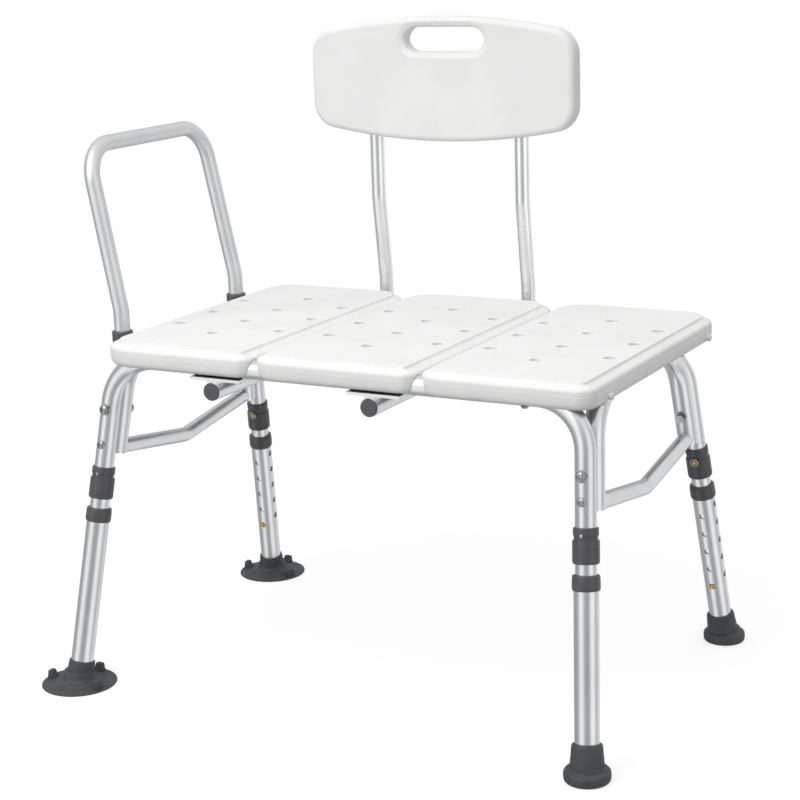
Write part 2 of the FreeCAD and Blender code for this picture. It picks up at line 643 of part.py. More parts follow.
# ---------------------------------------------------------------- arm rail
def arm_points():
    front, rear = ARM_Y
    top_x = ARM_X - ARM_LEAN * (ARM_TOP - ARM_KINK)
    return [
        Vector(ARM_X, front, ARM_LOW), Vector(ARM_X, front, ARM_KINK),
        Vector(top_x, front + ARM_NARROWING, ARM_TOP), Vector(top_x, rear - ARM_NARROWING, ARM_TOP),
        Vector(ARM_X, rear, ARM_KINK), Vector(ARM_X, rear, ARM_LOW),
    ]


def socket_tube(y):
    low, high = SOCKET_Z
    at = Vector(ARM_X, y, low)
    return cylinder(at, Z_AXIS, SOCKET_TUBE / 2, high - low).cut(cylinder(at, Z_AXIS, SOCKET_BORE / 2, high - low))


def socket_collar(y):
    """The black collar over the top of an arm rail socket."""
    low, high = 401.0, SOCKET_Z[1]
    ring = turned([
        (SOCKET_TUBE / 2, low), (13.4, low), (13.4, high + 1.6), (12.6, high + 2.8),
        (SOCKET_BORE / 2, high + 2.8), (SOCKET_BORE / 2, high), (SOCKET_TUBE / 2, high),
    ])
    return ring.translated(Vector(ARM_X, y, 0))


def socket_carrier():
    """The bar between the two sockets, with two lugs welded under the left side frame."""
    half, low, high = 6.0, 386.0, 396.0
    front, rear = ARM_Y
    bar = block(Vector(ARM_X - half, front, low), Vector(ARM_X + half, rear, high))
    inner = leg_point(-1, 1, FRAME_Z * LEG_SCALE).x
    lugs = [block(Vector(ARM_X, y - 14, low + 2), Vector(inner, y + 14, high + 2)) for y in (-48.0, 48.0)]
    cuts = [cylinder(Vector(ARM_X, y, low - 5), Z_AXIS, SOCKET_TUBE / 2, 40) for y in ARM_Y]
    cuts.append(rod(side_frame_points(-1), FRAME_TUBE, FRAME_BEND))
    return fused([bar] + lugs).cut(cuts)


# ---------------------------------------------------------------- the bench
def build():
    nodes = {}
    for index, name in ((-1, "left"), (0, "middle"), (1, "right")):
        nodes["seat_panel_" + name] = [seat_panel(index)]
    pins = []
    for index in (-1, 0, 1):
        pins += pin_bars(index * PANEL_PITCH + PANEL_WIDTH / 2, 1)
    nodes["panel_locating_pins"] = pins
    nodes["front_leg_frame"] = [leg_frame(-1)]
    nodes["rear_leg_frame"] = [leg_frame(1)]
    for side, name in ((-1, "left"), (1, "right")):
        nodes[name + "_side_frame"] = [side_frame(side)]
        nodes[name + "_brace"] = [brace(side)]
    rail_y = leg_point(1, 1, FRAME_Z * LEG_SCALE).y
    nodes["seat_screws"] = [seat_screw(place) for place in screw_places()]
    for x, name in zip(RECEIVER_X, ("left", "right")):
        nodes["back_receiver_" + name] = [receiver(x)]
        nodes["back_post_" + name] = [back_post(x)]
    nodes["receiver_caps"] = [receiver_cap(x) for x in RECEIVER_X]
    nodes["receiver_straps"] = [strap_and_saddle(x, y) for x in RECEIVER_X for y in (-rail_y, rail_y)]
    nodes["backrest_panel"] = [backrest_panel()]
    nodes["backrest_screws"] = [back_screw(x, z) for x in RECEIVER_X for z in BACK_SCREW_Z]

    nodes["arm_rail"] = [tube(arm_points(), ARM_TUBE, TUBE_WALL, ARM_BEND)]
    nodes["arm_socket_tubes"] = [socket_tube(y) for y in ARM_Y]
    nodes["arm_socket_collars"] = [socket_collar(y) for y in ARM_Y]
    nodes["arm_socket_carrier"] = [socket_carrier()]

    groups = {key: [] for key in (
        "frame_bolts", "frame_washers", "frame_nuts", "frame_screws", "sleeve_rivets",
        "height_button_springs", "sleeve_button_springs",
    )}
    height_wall = FRAME_TUBE / 2 - TUBE_WALL
    sleeve_wall = SPIGOT_TUBE / 2 - TUBE_WALL
    for name, (side, end) in LEGS.items():
        singles = {
            "inner_leg_tube_": inner_leg_tube(),
            "lower_leg_tube_": lower_leg_tube(),
            "lock_collar_": lock_collar(),
            "coupling_sleeve_": coupling_sleeve(),
            "height_button_": snap_button(HOLE_FIRST, height_wall, LOWER_TUBE / 2 + 2.4),
            "sleeve_button_": snap_button(SLEEVE_BUTTON_AT, sleeve_wall, 15.2 + 1.2),
        }
        for stem, shape in singles.items():
            nodes[stem + name] = [on_leg(shape, side, end)]
        nodes[("suction_foot_" if side < 0 else "rubber_foot_") + name] = [foot(side, end)]
        groups["frame_bolts"].append(on_leg(frame_bolt(side), side, end))
        groups["frame_washers"] += [on_leg(washer, side, end) for washer in frame_washers(side)]
        groups["frame_nuts"].append(on_leg(frame_nut(side), side, end))
        groups["frame_screws"].append(on_leg(frame_screw(), side, end))
        groups["sleeve_rivets"].append(on_leg(sleeve_rivet(), side, end))
        groups["height_button_springs"].append(on_leg(snap_spring(HOLE_FIRST, height_wall), side, end))
        groups["sleeve_button_springs"].append(on_leg(snap_spring(SLEEVE_BUTTON_AT, sleeve_wall), side, end))
    nodes.update(groups)
    return nodes


def export(nodes):
    os.makedirs("parts", exist_ok=True)
    box = FreeCAD.BoundBox()
    for shapes in nodes.values():
        for shape in shapes:
            box.add(shape.optimalBoundingBox(False, False))
    shift = Vector(-box.Center.x, -box.Center.y, -box.ZMin)
    for name, shapes in nodes.items():
        moved = [shape.translated(shift) for shape in shapes]
        whole = moved[0] if len(moved) == 1 else Part.makeCompound(moved)
        solids = len(whole.Solids)
        if solids != len(shapes) or not whole.isValid():
            print("CHECK", name, "solids", solids, "of", len(shapes), "valid", whole.isValid())
        whole.exportStep(os.path.join("parts", name + ".step"))
    print("nodes", len(nodes), "shift", [round(v, 3) for v in shift], "box", [round(v, 2) for v in (
        box.XLength, box.YLength, box.ZLength)])


export(build())
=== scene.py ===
"""The looks of a bath transfer bench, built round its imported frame.

Three moulded seat panels and a backrest stand on bent aluminium tube. An arm rail closes one end, and
four telescopic legs stand on two suction cups and two rubber tips. All sizes are in metres, +Z up.
"""

import json
import logging
import math
from dataclasses import dataclass
from enum import Enum
from typing import Any, Callable, Dict, Iterable, Optional, Sequence, Tuple

import bmesh
import bpy
from mathutils import Matrix, Vector

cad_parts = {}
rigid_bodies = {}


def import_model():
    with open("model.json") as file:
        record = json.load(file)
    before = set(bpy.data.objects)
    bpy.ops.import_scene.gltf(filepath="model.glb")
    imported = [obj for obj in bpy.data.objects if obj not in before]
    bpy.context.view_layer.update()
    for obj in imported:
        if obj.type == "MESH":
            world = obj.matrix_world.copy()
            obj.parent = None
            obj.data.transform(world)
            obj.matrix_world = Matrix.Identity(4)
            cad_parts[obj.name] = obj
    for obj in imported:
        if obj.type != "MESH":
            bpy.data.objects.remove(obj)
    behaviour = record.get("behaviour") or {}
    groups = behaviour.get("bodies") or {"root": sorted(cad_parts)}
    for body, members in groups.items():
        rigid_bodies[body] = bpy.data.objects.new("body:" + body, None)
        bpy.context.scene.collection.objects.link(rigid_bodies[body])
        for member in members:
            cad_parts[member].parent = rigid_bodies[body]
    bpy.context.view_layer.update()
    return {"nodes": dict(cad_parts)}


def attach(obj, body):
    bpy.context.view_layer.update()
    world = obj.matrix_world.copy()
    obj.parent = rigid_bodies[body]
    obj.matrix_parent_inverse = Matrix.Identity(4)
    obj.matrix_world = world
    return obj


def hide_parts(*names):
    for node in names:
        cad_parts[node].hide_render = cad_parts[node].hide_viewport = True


LOG = logging.getLogger("transfer_bench")
MM = 0.001

Outline = Sequence[Tuple[float, float]]
Object = bpy.types.Object
Material = bpy.types.Material


# ---------------------------------------------------------------- where things are
class Side(Enum):
    """The end of the bench that a leg stands under."""

    LEFT = -1
    RIGHT = 1


class End(Enum):
    """Whether a leg is a front or a rear one."""

    FRONT = -1
    REAR = 1


class Element(Enum):
    """What an edit-mode operator is to work on."""

    VERTICES = "VERT"
    EDGES = "EDGE"
    FACES = "FACE"


@dataclass(frozen=True)
class Stance:
    """The spread of the four legs."""

    middle_x: float = 12.2 * MM
    middle_y: float = -6.5 * MM
    foot_x: float = 345.0 * MM
    foot_y: float = 231.5 * MM
    splay_x: float = 0.079
    splay_y: float = 0.193

    def point(self, x: float, y: float, z: float) -> Vector:
        """Turns a point given from the middle of the legs, in millimetres, into the bench's frame.

        Args:
            x: Millimetres to the right of the middle.
            y: Millimetres behind the middle.
            z: Millimetres above the floor.

        Returns:
            The point in metres.
        """
        return Vector((x * MM + self.middle_x, y * MM + self.middle_y, z * MM))


STANCE = Stance()


@dataclass(frozen=True)
class Leg:
    """One of the four legs, and the frame of axes that its pieces are modelled in."""

    side: Side
    end: End

    @property
    def name(self) -> str:
        """The leg's name, as its CAD nodes have it."""
        end = "front" if self.end is End.FRONT else "rear"
        side = "left" if self.side is Side.LEFT else "right"
        return f"{end}_{side}"

    @property
    def foot(self) -> Vector:
        """The point where the leg's axis meets the floor."""
        x, y = self.side.value * STANCE.foot_x, self.end.value * STANCE.foot_y
        return Vector((x + STANCE.middle_x, y + STANCE.middle_y, 0.0))

    @property
    def matrix(self) -> Matrix:
        """Places a shape modelled upright at the origin: z up the leg, y towards the bench's middle."""
        z = Vector((-self.side.value * STANCE.splay_x, -self.end.value * STANCE.splay_y, 1.0)).normalized()
        inward = Vector((0.0, -self.end.value, 0.0))
        y = (inward - z * inward.dot(z)).normalized()
        x = y.cross(z)
        turn = Matrix((x, y, z)).transposed().to_4x4()
        return Matrix.Translation(self.foot) @ turn


LEGS = tuple(Leg(side, end) for end in End for side in Side)


# ---------------------------------------------------------------- tools of the bench maker
def settle() -> None:
    """Leaves edit mode and deselects everything."""
    if bpy.context.object and bpy.context.object.mode != "OBJECT":
        bpy.ops.object.mode_set(mode="OBJECT")
    bpy.ops.object.select_all(action="DESELECT")


def take(piece: Object) -> Object:
    """Selects one piece alone and makes it active.

    Args:
        piece: The piece to work on.

    Returns:
        The same piece.
    """
    settle()
    piece.select_set(True)
    bpy.context.view_layer.objects.active = piece
    return piece


def started(name: str) -> Object:
    """Names the primitive that was just added and puts its place into its mesh.

    Args:
        name: The new piece's name.

    Returns:
        The piece, with its object at the origin.
    """
    piece = bpy.context.object
    piece.name = name
    piece.data.name = name
    bpy.ops.object.transform_apply(location=True, rotation=True, scale=True)
    return piece


def edit(piece: Object) -> None:
    """Opens a piece in edit mode, alone, with all of it selected."""
    take(piece)
    bpy.ops.object.mode_set(mode="EDIT")
    bpy.ops.mesh.select_all(action="SELECT")


def choose(piece: Object, element: Element, test: Callable[[Any], bool]) -> int:
    """Selects the parts of the edited mesh that pass a test, and nothing else.

    Args:
        piece: The piece in edit mode.
        element: Whether vertices, edges or faces are chosen.
        test: Says whether one of them is wanted.

    Returns:
        How many were chosen.
    """
    bpy.ops.mesh.select_mode(type=element.value)
    bpy.ops.mesh.select_all(action="DESELECT")
    mesh = bmesh.from_edit_mesh(piece.data)
    parts = {Element.VERTICES: mesh.verts, Element.EDGES: mesh.edges, Element.FACES: mesh.faces}[element]
    count = 0
    for part in parts:
        if test(part):
            part.select_set(True)
            count += 1
    mesh.select_flush_mode()
    bmesh.update_edit_mesh(piece.data)
    return count


def use_modifier(piece: Object, kind: str, **settings: Any) -> None:
    """Adds a modifier to a piece and applies it.

    Args:
        piece: The piece.
        kind: Blender's name for the modifier.
        settings: The modifier's properties.
    """
    take(piece)
    modifier = piece.modifiers.new(kind.title(), kind)
    for key, value in settings.items():
        setattr(modifier, key, value)
    bpy.ops.object.modifier_apply(modifier=modifier.name)


def soften(piece: Object, radius: float = 0.0, segments: int = 3, angle: float = 35.0) -> Object:
    """Rounds a piece's sharp edges and smooths its shading.

    Args:
        piece: The piece.
        radius: The edge rounding, or 0 for none.
        segments: How many facets each rounding has.
        angle: Edges sharper than this, in degrees, are rounded or kept crisp.

    Returns:
        The same piece.
    """
    if radius > 0:
        use_modifier(
            piece, "BEVEL", width=radius, segments=segments, limit_method="ANGLE",
            angle_limit=math.radians(angle), use_clamp_overlap=True, harden_normals=False,
        )
    take(piece)
    bpy.ops.object.shade_smooth_by_angle(angle=math.radians(angle))
    use_modifier(piece, "WEIGHTED_NORMAL", mode="FACE_AREA", weight=50, keep_sharp=True)
    return piece


def face_outwards(piece: Object) -> Object:
    """Merges a piece's double points and turns all its faces outwards.

    Args:
        piece: The piece.

    Returns:
        The same piece, out of edit mode.
    """
    edit(piece)
    bpy.ops.mesh.remove_doubles(threshold=0.002 * MM)
    bpy.ops.mesh.select_all(action="SELECT")
    bpy.ops.mesh.normals_make_consistent(inside=False)
    settle()
    return piece


def turned(name: str, outline: Outline, closed: bool = False, segments: int = 72) -> Object:
    """Turns an outline about the Z axis, as on a lathe.

    Args:
        name: The piece's name.
        outline: (radius, height) pairs in millimetres, along the outline.
        closed: Whether the outline closes on itself, as a ring's does. Otherwise flat ends are capped.
        segments: Facets round the axis.

    Returns:
        The turned piece.
    """
    settle()
    first_radius, first_height = outline[0]
    bpy.ops.mesh.primitive_circle_add(
        vertices=segments, radius=first_radius * MM, fill_type="NOTHING", location=(0, 0, first_height * MM)
    )
    piece = started(name)
    edit(piece)
    for (radius, height), (next_radius, next_height) in zip(outline, outline[1:]):
        bpy.ops.mesh.extrude_edges_move(TRANSFORM_OT_translate={"value": (0, 0, (next_height - height) * MM)})
        ratio = next_radius / radius
        bpy.ops.transform.resize(value=(ratio, ratio, 1.0), center_override=(0, 0, next_height * MM))
    bpy.ops.mesh.select_mode(type="EDGE")
    choose(piece, Element.EDGES, lambda edge: edge.is_boundary)
    if closed:
        bpy.ops.mesh.bridge_edge_loops()
    else:
        for height in (outline[0][1], outline[-1][1]):
            choose(piece, Element.EDGES, lambda edge: edge.is_boundary and all(
                abs(vertex.co.z - height * MM) < 0.001 * MM for vertex in edge.verts))
            bpy.ops.mesh.edge_face_add()
    return face_outwards(piece)


def put(piece: Object, matrix: Matrix) -> Object:
    """Moves a piece's mesh, and leaves its object at the origin.

    Args:
        piece: The piece.
        matrix: Where it goes.

    Returns:
        The same piece.
    """
    take(piece)
    piece.matrix_world = matrix
    bpy.context.view_layer.update()
    bpy.ops.object.transform_apply(location=True, rotation=True, scale=True)
    return piece


def copied(piece: Object, name: str, matrix: Matrix) -> Object:
    """Makes a copy with a mesh of its own, put in its place.

    Args:
        piece: The piece to copy, modelled at the origin.
        name: The copy's name.
        matrix: Where the copy goes.

    Returns:
        The copy.
    """
    take(piece)
    bpy.ops.object.duplicate(linked=False)
    copy = bpy.context.object
    copy.name = name
    copy.data.name = name
    return put(copy, matrix)


def joined(pieces: Sequence[Object], name: str) -> Object:
    """Joins several pieces into one object.

    Args:
        pieces: The pieces, which end as one.
        name: The joined piece's name.

    Returns:
        The joined piece.
    """
    take(pieces[0])
    for piece in pieces:
        piece.select_set(True)
    bpy.ops.object.join()
    whole = bpy.context.object
    whole.name = name
    whole.data.name = name
    return whole


def carve(piece: Object, tool: Object, operation: str = "DIFFERENCE") -> Object:
    """Cuts a piece with a tool, or unites them, and removes the tool.

    Args:
        piece: The piece.
        tool: The shape that cuts it or is added to it.
        operation: DIFFERENCE or UNION.

    Returns:
        The same piece.

    Raises:
        ValueError: If nothing is left of the piece, as when parts of the tool cross each other.
    """
    use_modifier(piece, "BOOLEAN", object=tool, operation=operation, solver="EXACT")
    bpy.data.objects.remove(tool, do_unlink=True)
    if not piece.data.polygons:
        raise ValueError(piece.name + " has nothing left after its cut")
    return piece


def bar(name: str, start: Vector, end: Vector, radius: float, segments: int = 48) -> Object:
    """A round bar between two points, as a cutting tool.

    Args:
        name: The bar's name.
        start: One end, in metres.
        end: The other end.
        radius: Its radius, in metres.
        segments: Facets round it.

    Returns:
        The bar.
    """
    settle()
    along = end - start
    bpy.ops.mesh.primitive_cylinder_add(
        vertices=segments, radius=radius, depth=along.length, location=(start + end) / 2,
        rotation=along.to_track_quat("Z", "Y").to_euler(),
    )
    return started(name)


def block(name: str, low: Vector, high: Vector) -> Object:
    """A box between two corners, as a cutting tool.

    Args:
        name: The box's name.
        low: Its lowest corner.
        high: Its highest corner.

    Returns:
        The box.
    """
    settle()
    bpy.ops.mesh.primitive_cube_add(size=1.0, location=(low + high) / 2, scale=high - low)
    return started(name)


# ---------------------------------------------------------------- finishes
def linear(code: str) -> Tuple[float, float, float, float]:
    """Turns an sRGB hex colour into the linear colour that a shader takes.

    Args:
        code: Six hex digits, with or without a leading #.

    Returns:
        Red, green, blue and an alpha of 1.
    """
    digits = code.lstrip("#")
    shares = [int(digits[k:k + 2], 16) / 255 for k in (0, 2, 4)]
    red, green, blue = (s / 12.92 if s <= 0.04045 else ((s + 0.055) / 1.055) ** 2.4 for s in shares)
    return red, green, blue, 1.0


def add_node(
    tree: bpy.types.NodeTree, kind: str, links: Optional[Dict[str, Any]] = None,
    values: Optional[Dict[str, Any]] = None, **settings: Any,
) -> bpy.types.Node:
    """Adds one node with its settings, input values and links.

    Args:
        tree: The material's or world's node tree.
        kind: The node's type.
        links: Input names or numbers and the output sockets that feed them.
        values: Input names or numbers and their values.
        settings: The node's own properties.

    Returns:
        The node.
    """
    node = tree.nodes.new(kind)
    for key, value in settings.items():
        setattr(node, key, value)
    for key, value in (values or {}).items():
        node.inputs[key].default_value = value
    for key, socket in (links or {}).items():
        tree.links.new(socket, node.inputs[key])
    return node


@dataclass(frozen=True)
class Finish:
    """A surface: its colours, its shine, and the grain and colour drift that its making leaves."""

    name: str
    slot: str
    colour: str
    drift: str                  # the colour that patches of the surface drift towards
    roughness: float
    roughness_drift: float = 0.06
    metallic: float = 0.0
    ior: float = 1.5
    grain_mm: float = 0.6       # size of the grain's bumps
    grain_height_mm: float = 0.02
    patch_mm: float = 60.0      # size of the patches of colour drift
    stretch: Tuple[float, float, float] = (1.0, 1.0, 1.0)
    subsurface: float = 0.0

    def made(self) -> Material:
        """Builds the finish's material from nodes.

        Returns:
            The material.
        """
        material = bpy.data.materials.new(self.name)
        material.use_nodes = True
        tree = material.node_tree
        tree.nodes.clear()
        place = add_node(tree, "ShaderNodeTexCoord").outputs["Object"]
        patches = add_node(tree, "ShaderNodeTexNoise", {"Vector": place},
                           {"Scale": 1 / (self.patch_mm * MM), "Detail": 3.0, "Roughness": 0.55})
        patch_share = add_node(tree, "ShaderNodeMapRange", {"Value": patches.outputs["Fac"]},
                               {"From Min": 0.35, "From Max": 0.68, "To Min": 0.0, "To Max": 1.0})
        colour = add_node(tree, "ShaderNodeMix", {"Factor": patch_share.outputs["Result"]}, data_type="RGBA")
        colour.inputs["A"].default_value = linear(self.colour)
        colour.inputs["B"].default_value = linear(self.drift)
        drawn = add_node(tree, "ShaderNodeMapping", {"Vector": place}, {"Scale": self.stretch})
        grain = add_node(tree, "ShaderNodeTexNoise", {"Vector": drawn.outputs["Vector"]},
                         {"Scale": 1 / (self.grain_mm * MM), "Detail": 2.0, "Roughness": 0.5})
        shine = add_node(tree, "ShaderNodeMapRange", {"Value": grain.outputs["Fac"]},
                         {"From Min": 0.3, "From Max": 0.7,
                          "To Min": self.roughness - self.roughness_drift,
                          "To Max": self.roughness + self.roughness_drift})
        bump = add_node(tree, "ShaderNodeBump", {"Height": grain.outputs["Fac"]},
                        {"Strength": 1.0, "Distance": self.grain_height_mm * MM})
        shader = add_node(tree, "ShaderNodeBsdfPrincipled",
                          {"Base Color": colour.outputs["Result"], "Roughness": shine.outputs["Result"],
                           "Normal": bump.outputs["Normal"]},
                          {"Metallic": self.metallic, "IOR": self.ior,
                           "Subsurface Weight": self.subsurface, "Subsurface Scale": 4 * MM})
        add_node(tree, "ShaderNodeOutputMaterial", {"Surface": shader.outputs["BSDF"]})
        return material


# Blow-moulded high-density polyethylene: bright white and waxy, with a spark-eroded mould grain under a
# millimetre across, which breaks the highlight up.
MOULDED_POLYETHYLENE = Finish(
    "moulded_polyethylene", "white_hdpe", "#F4F4F3", "#EFEFEE", 0.46, grain_mm=0.9, grain_height_mm=0.035,
    patch_mm=90.0, subsurface=0.08,
)
# Drawn aluminium tube, etched and anodised: a satin silver that reflects soft bands along the tube. Its
# draw lines are finer than a tenth of a millimetre; a round grain half a millimetre across stands for them.
ANODISED_TUBE = Finish(
    "satin_anodised_aluminium", "satin_aluminium", "#D2D3D4", "#CBCCCE", 0.30, roughness_drift=0.05,
    metallic=1.0,
    grain_mm=0.5, grain_height_mm=0.004, patch_mm=45.0,
)
# The backrest's posts are drawn from the same alloy; their lighter colour is painted reflection, for the
# brighter light they mirror.
POST_TUBE_PAINTED_REFLECTION = Finish(
    "bright_anodised_aluminium", "satin_aluminium", "#E8E9EA", "#E1E2E3", 0.26, roughness_drift=0.05,
    metallic=1.0,
    grain_mm=0.5, grain_height_mm=0.004, patch_mm=45.0,
)
# The arm rail is the same metal, blasted before it was anodised, so its bands of light are softer.
BLASTED_TUBE = Finish(
    "blasted_anodised_aluminium", "satin_aluminium", "#D2D3D4", "#CBCCCE", 0.45, roughness_drift=0.05,
    metallic=1.0,
    grain_mm=0.7, grain_height_mm=0.008, patch_mm=45.0,
)
# Injection-moulded nylon collars: dark grey, half matt, with a faint mould texture.
MOULDED_NYLON = Finish(
    "dark_moulded_nylon", "black_plastic", "#545456", "#4C4C4E", 0.42, grain_mm=0.4, grain_height_mm=0.012,
    patch_mm=12.0,
)
# Compression-moulded rubber feet: dull blue-grey black, with a bloom of lighter patches.
MOULDED_RUBBER = Finish(
    "grey_black_rubber", "black_rubber", "#3B3E40", "#47494B", 0.62, ior=1.52, grain_mm=0.7,
    grain_height_mm=0.03,
    patch_mm=14.0,
)
# Turned brass of the snap buttons: bright where the thumb rubs, duller round it.
TURNED_BRASS = Finish(
    "turned_brass", "brass", "#C79A55", "#A97E40", 0.28, metallic=1.0, grain_mm=0.3, grain_height_mm=0.004,
    patch_mm=3.0,
)
# Zinc-plated steel screws and washers: a cool grey shine with cloudy plating.
ZINC_PLATE = Finish(
    "zinc_plated_steel", "zinc_steel", "#A3A5A8", "#85878A", 0.24, metallic=1.0, grain_mm=0.35,
    grain_height_mm=0.006, patch_mm=4.0,
)


class Paintbox:
    """Makes each finish once and puts it on pieces and CAD nodes."""

    def __init__(self) -> None:
        """Starts with no material made."""
        self.made: Dict[str, Material] = {}

    def material(self, finish: Finish) -> Material:
        """The finish's material, made when first asked for.

        Args:
            finish: The finish.

        Returns:
            Its material.
        """
        if finish.name not in self.made:
            self.made[finish.name] = finish.made()
        return self.made[finish.name]

    def dress(self, piece: Object, finish: Finish) -> Object:
        """Gives a new piece its finish.

        Args:
            piece: The piece.
            finish: The finish.

        Returns:
            The same piece.
        """
        piece.data.materials.clear()
        piece.data.materials.append(self.material(finish))
        return piece

    def repaint(self, node: Object, finish: Finish) -> None:
        """Gives a CAD node that stays its better material."""
        for slot in node.material_slots:
            slot.material = self.material(finish)


@dataclass
class Workshop:
    """What every sub-assembly needs to build and dress its pieces."""

    nodes: Dict[str, Object]
    paint: Paintbox

    def keep(self, names: Iterable[str], finish: Finish) -> None:
        """Keeps CAD nodes whose shape is right, and dresses them.

        Args:
            names: The nodes' names.
            finish: Their finish.
        """
        for name in names:
            self.paint.repaint(self.nodes[name], finish)
            LOG.info("kept %s as %s", name, finish.name)

    def stand_for(self, piece: Object, body: str, finish: Finish, *names: str) -> Object:
        """Dresses a new piece, makes it ride a body and lets it stand for CAD nodes.

        Args:
            piece: The new piece.
            body: The CAD body it moves with.
            finish: Its finish.
            names: The CAD nodes that it replaces.

        Returns:
            The piece.
        """
        self.paint.dress(piece, finish)
        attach(piece, body)
        if names:
            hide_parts(*names)
        LOG.info("built %s, %d faces", piece.name, len(piece.data.polygons))
        return piece


# ---------------------------------------------------------------- seat
@dataclass(frozen=True)
class SeatPanel:
    """One of the three moulded seat panels: a flat top with drain holes on a rounded tray."""

    index: int
    pitch: float = 220.0
    width: float = 217.0
    depth: float = 431.0
    middle_y: float = 42.0
    top: float = 429.0
    parting: float = 414.0          # height of the mould's parting line
    corner: float = 44.0
    inner_front_left: float = 30.0
    inner_front_right: float = 15.5
    end_front_right: float = 20.0
    drain_radius: float = 7.5
    column_x: float = 75.0
    step_y: float = 78.0
    # above the parting line, (inset, rise) steps: wall, rounded shoulder, gentle slope, low step, flat top
    upper: Outline = ((0.28, 0.28), (0.1, 4.6), (0.35, 1.5), (0.6, 1.25), (0.95, 1.0), (1.35, 0.75),
                      (1.8, 0.6), (2.4, 0.75), (2.6, 0.95), (1.5, 0.8), (0.35, 0.75), (0.15, 0.9),
                      (0.2, 0.55),
                      (0.45, 0.32))
    # and below it, as (inset, drop) from the parting line
    lower: Outline = ((0.28, 0.28), (0.35, 5.2), (0.85, 9.2), (1.7, 11.6), (3.0, 13.4), (4.8, 14.7),
                      (6.2, 15.0))
    wall: float = 7.0
    plate: float = 9.6
    rail_y: float = 152.95
    rail_z: float = 407.0
    rail_radius: float = 12.4
    side_rail_x: float = 313.1

    @property
    def name(self) -> str:
        """The CAD node that the panel stands for."""
        return "seat_panel_" + ("left", "middle", "right")[self.index + 1]

    def blank(self) -> Object:
        """Models the panel's outside: a rounded plate raised to the top and drawn down to the rim.

        Returns:
            The closed blank, still without holes.
        """
        settle()
        centre = STANCE.point(self.index * self.pitch, self.middle_y, self.parting)
        bpy.ops.mesh.primitive_plane_add(size=1.0, location=centre)
        bpy.context.object.scale = (self.width * MM, self.depth * MM, 1.0)
        panel = started(self.name + "_moulding")
        edit(panel)
        front_left = self.corner if self.index < 0 else self.inner_front_left
        front_right = self.end_front_right if self.index > 0 else self.inner_front_right
        for way_x, way_y, corner in ((-1, -1, front_left), (1, -1, front_right), (1, 1, self.corner),
                                     (-1, 1, self.corner)):
            spot = centre + Vector((way_x * self.width, way_y * self.depth, 0)) * (MM / 2)
            choose(panel, Element.VERTICES, lambda vertex: (vertex.co - spot).length < MM)
            bpy.ops.mesh.bevel(offset=corner * MM, segments=8 + int(corner / 4), affect="VERTICES",
                               profile=0.5)
        choose(panel, Element.FACES, lambda face: True)
        for inset, rise in self.upper:
            bpy.ops.mesh.inset(thickness=inset * MM, depth=rise * MM, use_boundary=True, use_even_offset=True)
        choose(panel, Element.EDGES, lambda edge: edge.is_boundary)
        inset, drop = 0.0, 0.0
        inside = ((self.wall, self.lower[-1][1]), (self.wall + 0.6, self.parting - self.top + self.plate))
        for next_inset, next_drop in tuple(self.lower) + inside:
            bpy.ops.mesh.extrude_edges_move(TRANSFORM_OT_translate={"value": (0, 0, (drop - next_drop) * MM)})
            ratios = [(size - 2 * next_inset) / (size - 2 * inset) for size in (self.width, self.depth)]
            bpy.ops.transform.resize(value=(*ratios, 1.0), center_override=centre)
            inset, drop = next_inset, next_drop
        bpy.ops.mesh.edge_face_add()
        return face_outwards(panel)

    def drain_tool(self, x: float, y: float) -> Object:
        """A cutter for one drain hole, flared where it leaves the top and the underside."""
        low, high, flare = self.top - self.plate, self.top, 1.1
        tool = turned("drain_tool", (
            (self.drain_radius + flare, low - 1.0), (self.drain_radius + flare, low),
            (self.drain_radius, low + flare),
            (self.drain_radius, high - flare), (self.drain_radius + 0.3 * flare, high - 0.3 * flare),
            (self.drain_radius + flare, high), (self.drain_radius + flare, high + 1.0),
        ), segments=40)
        return put(tool, Matrix.Translation(STANCE.point(x, y, 0.0)))

    def build(self, shop: Workshop) -> Object:
        """Builds the panel with its holes and the notches that lie over the frame.

        Args:
            shop: The workshop.

        Returns:
            The panel.
        """
        panel = self.blank()
        middle = self.index * self.pitch
        tools = []
        for column, rows in ((-1, (-1, 0, 1)), (0, (-1.5, -0.5, 0.5, 1.5)), (1, (-1, 0, 1))):
            for row in rows:
                tools.append(self.drain_tool(middle + column * self.column_x,
                                             self.middle_y + row * self.step_y))
        reach = 14.0
        for side in (-1, 1):
            edge = middle + side * self.width / 2
            if side == self.index:
                x, z = side * self.side_rail_x, self.rail_z
                tools.append(bar("side_rail_tool", STANCE.point(x, -84, z), STANCE.point(x, 168, z),
                                 self.rail_radius * MM))
                continue
            for y in (-self.rail_y, self.rail_y):
                tools.append(bar("rail_tool", STANCE.point(edge - side * reach, y, self.rail_z),
                                 STANCE.point(edge + side * reach, y, self.rail_z), self.rail_radius * MM))
        carve(panel, joined(tools, "panel_tool"))
        soften(panel, angle=32.0)
        return shop.stand_for(panel, "root", MOULDED_POLYETHYLENE, self.name)


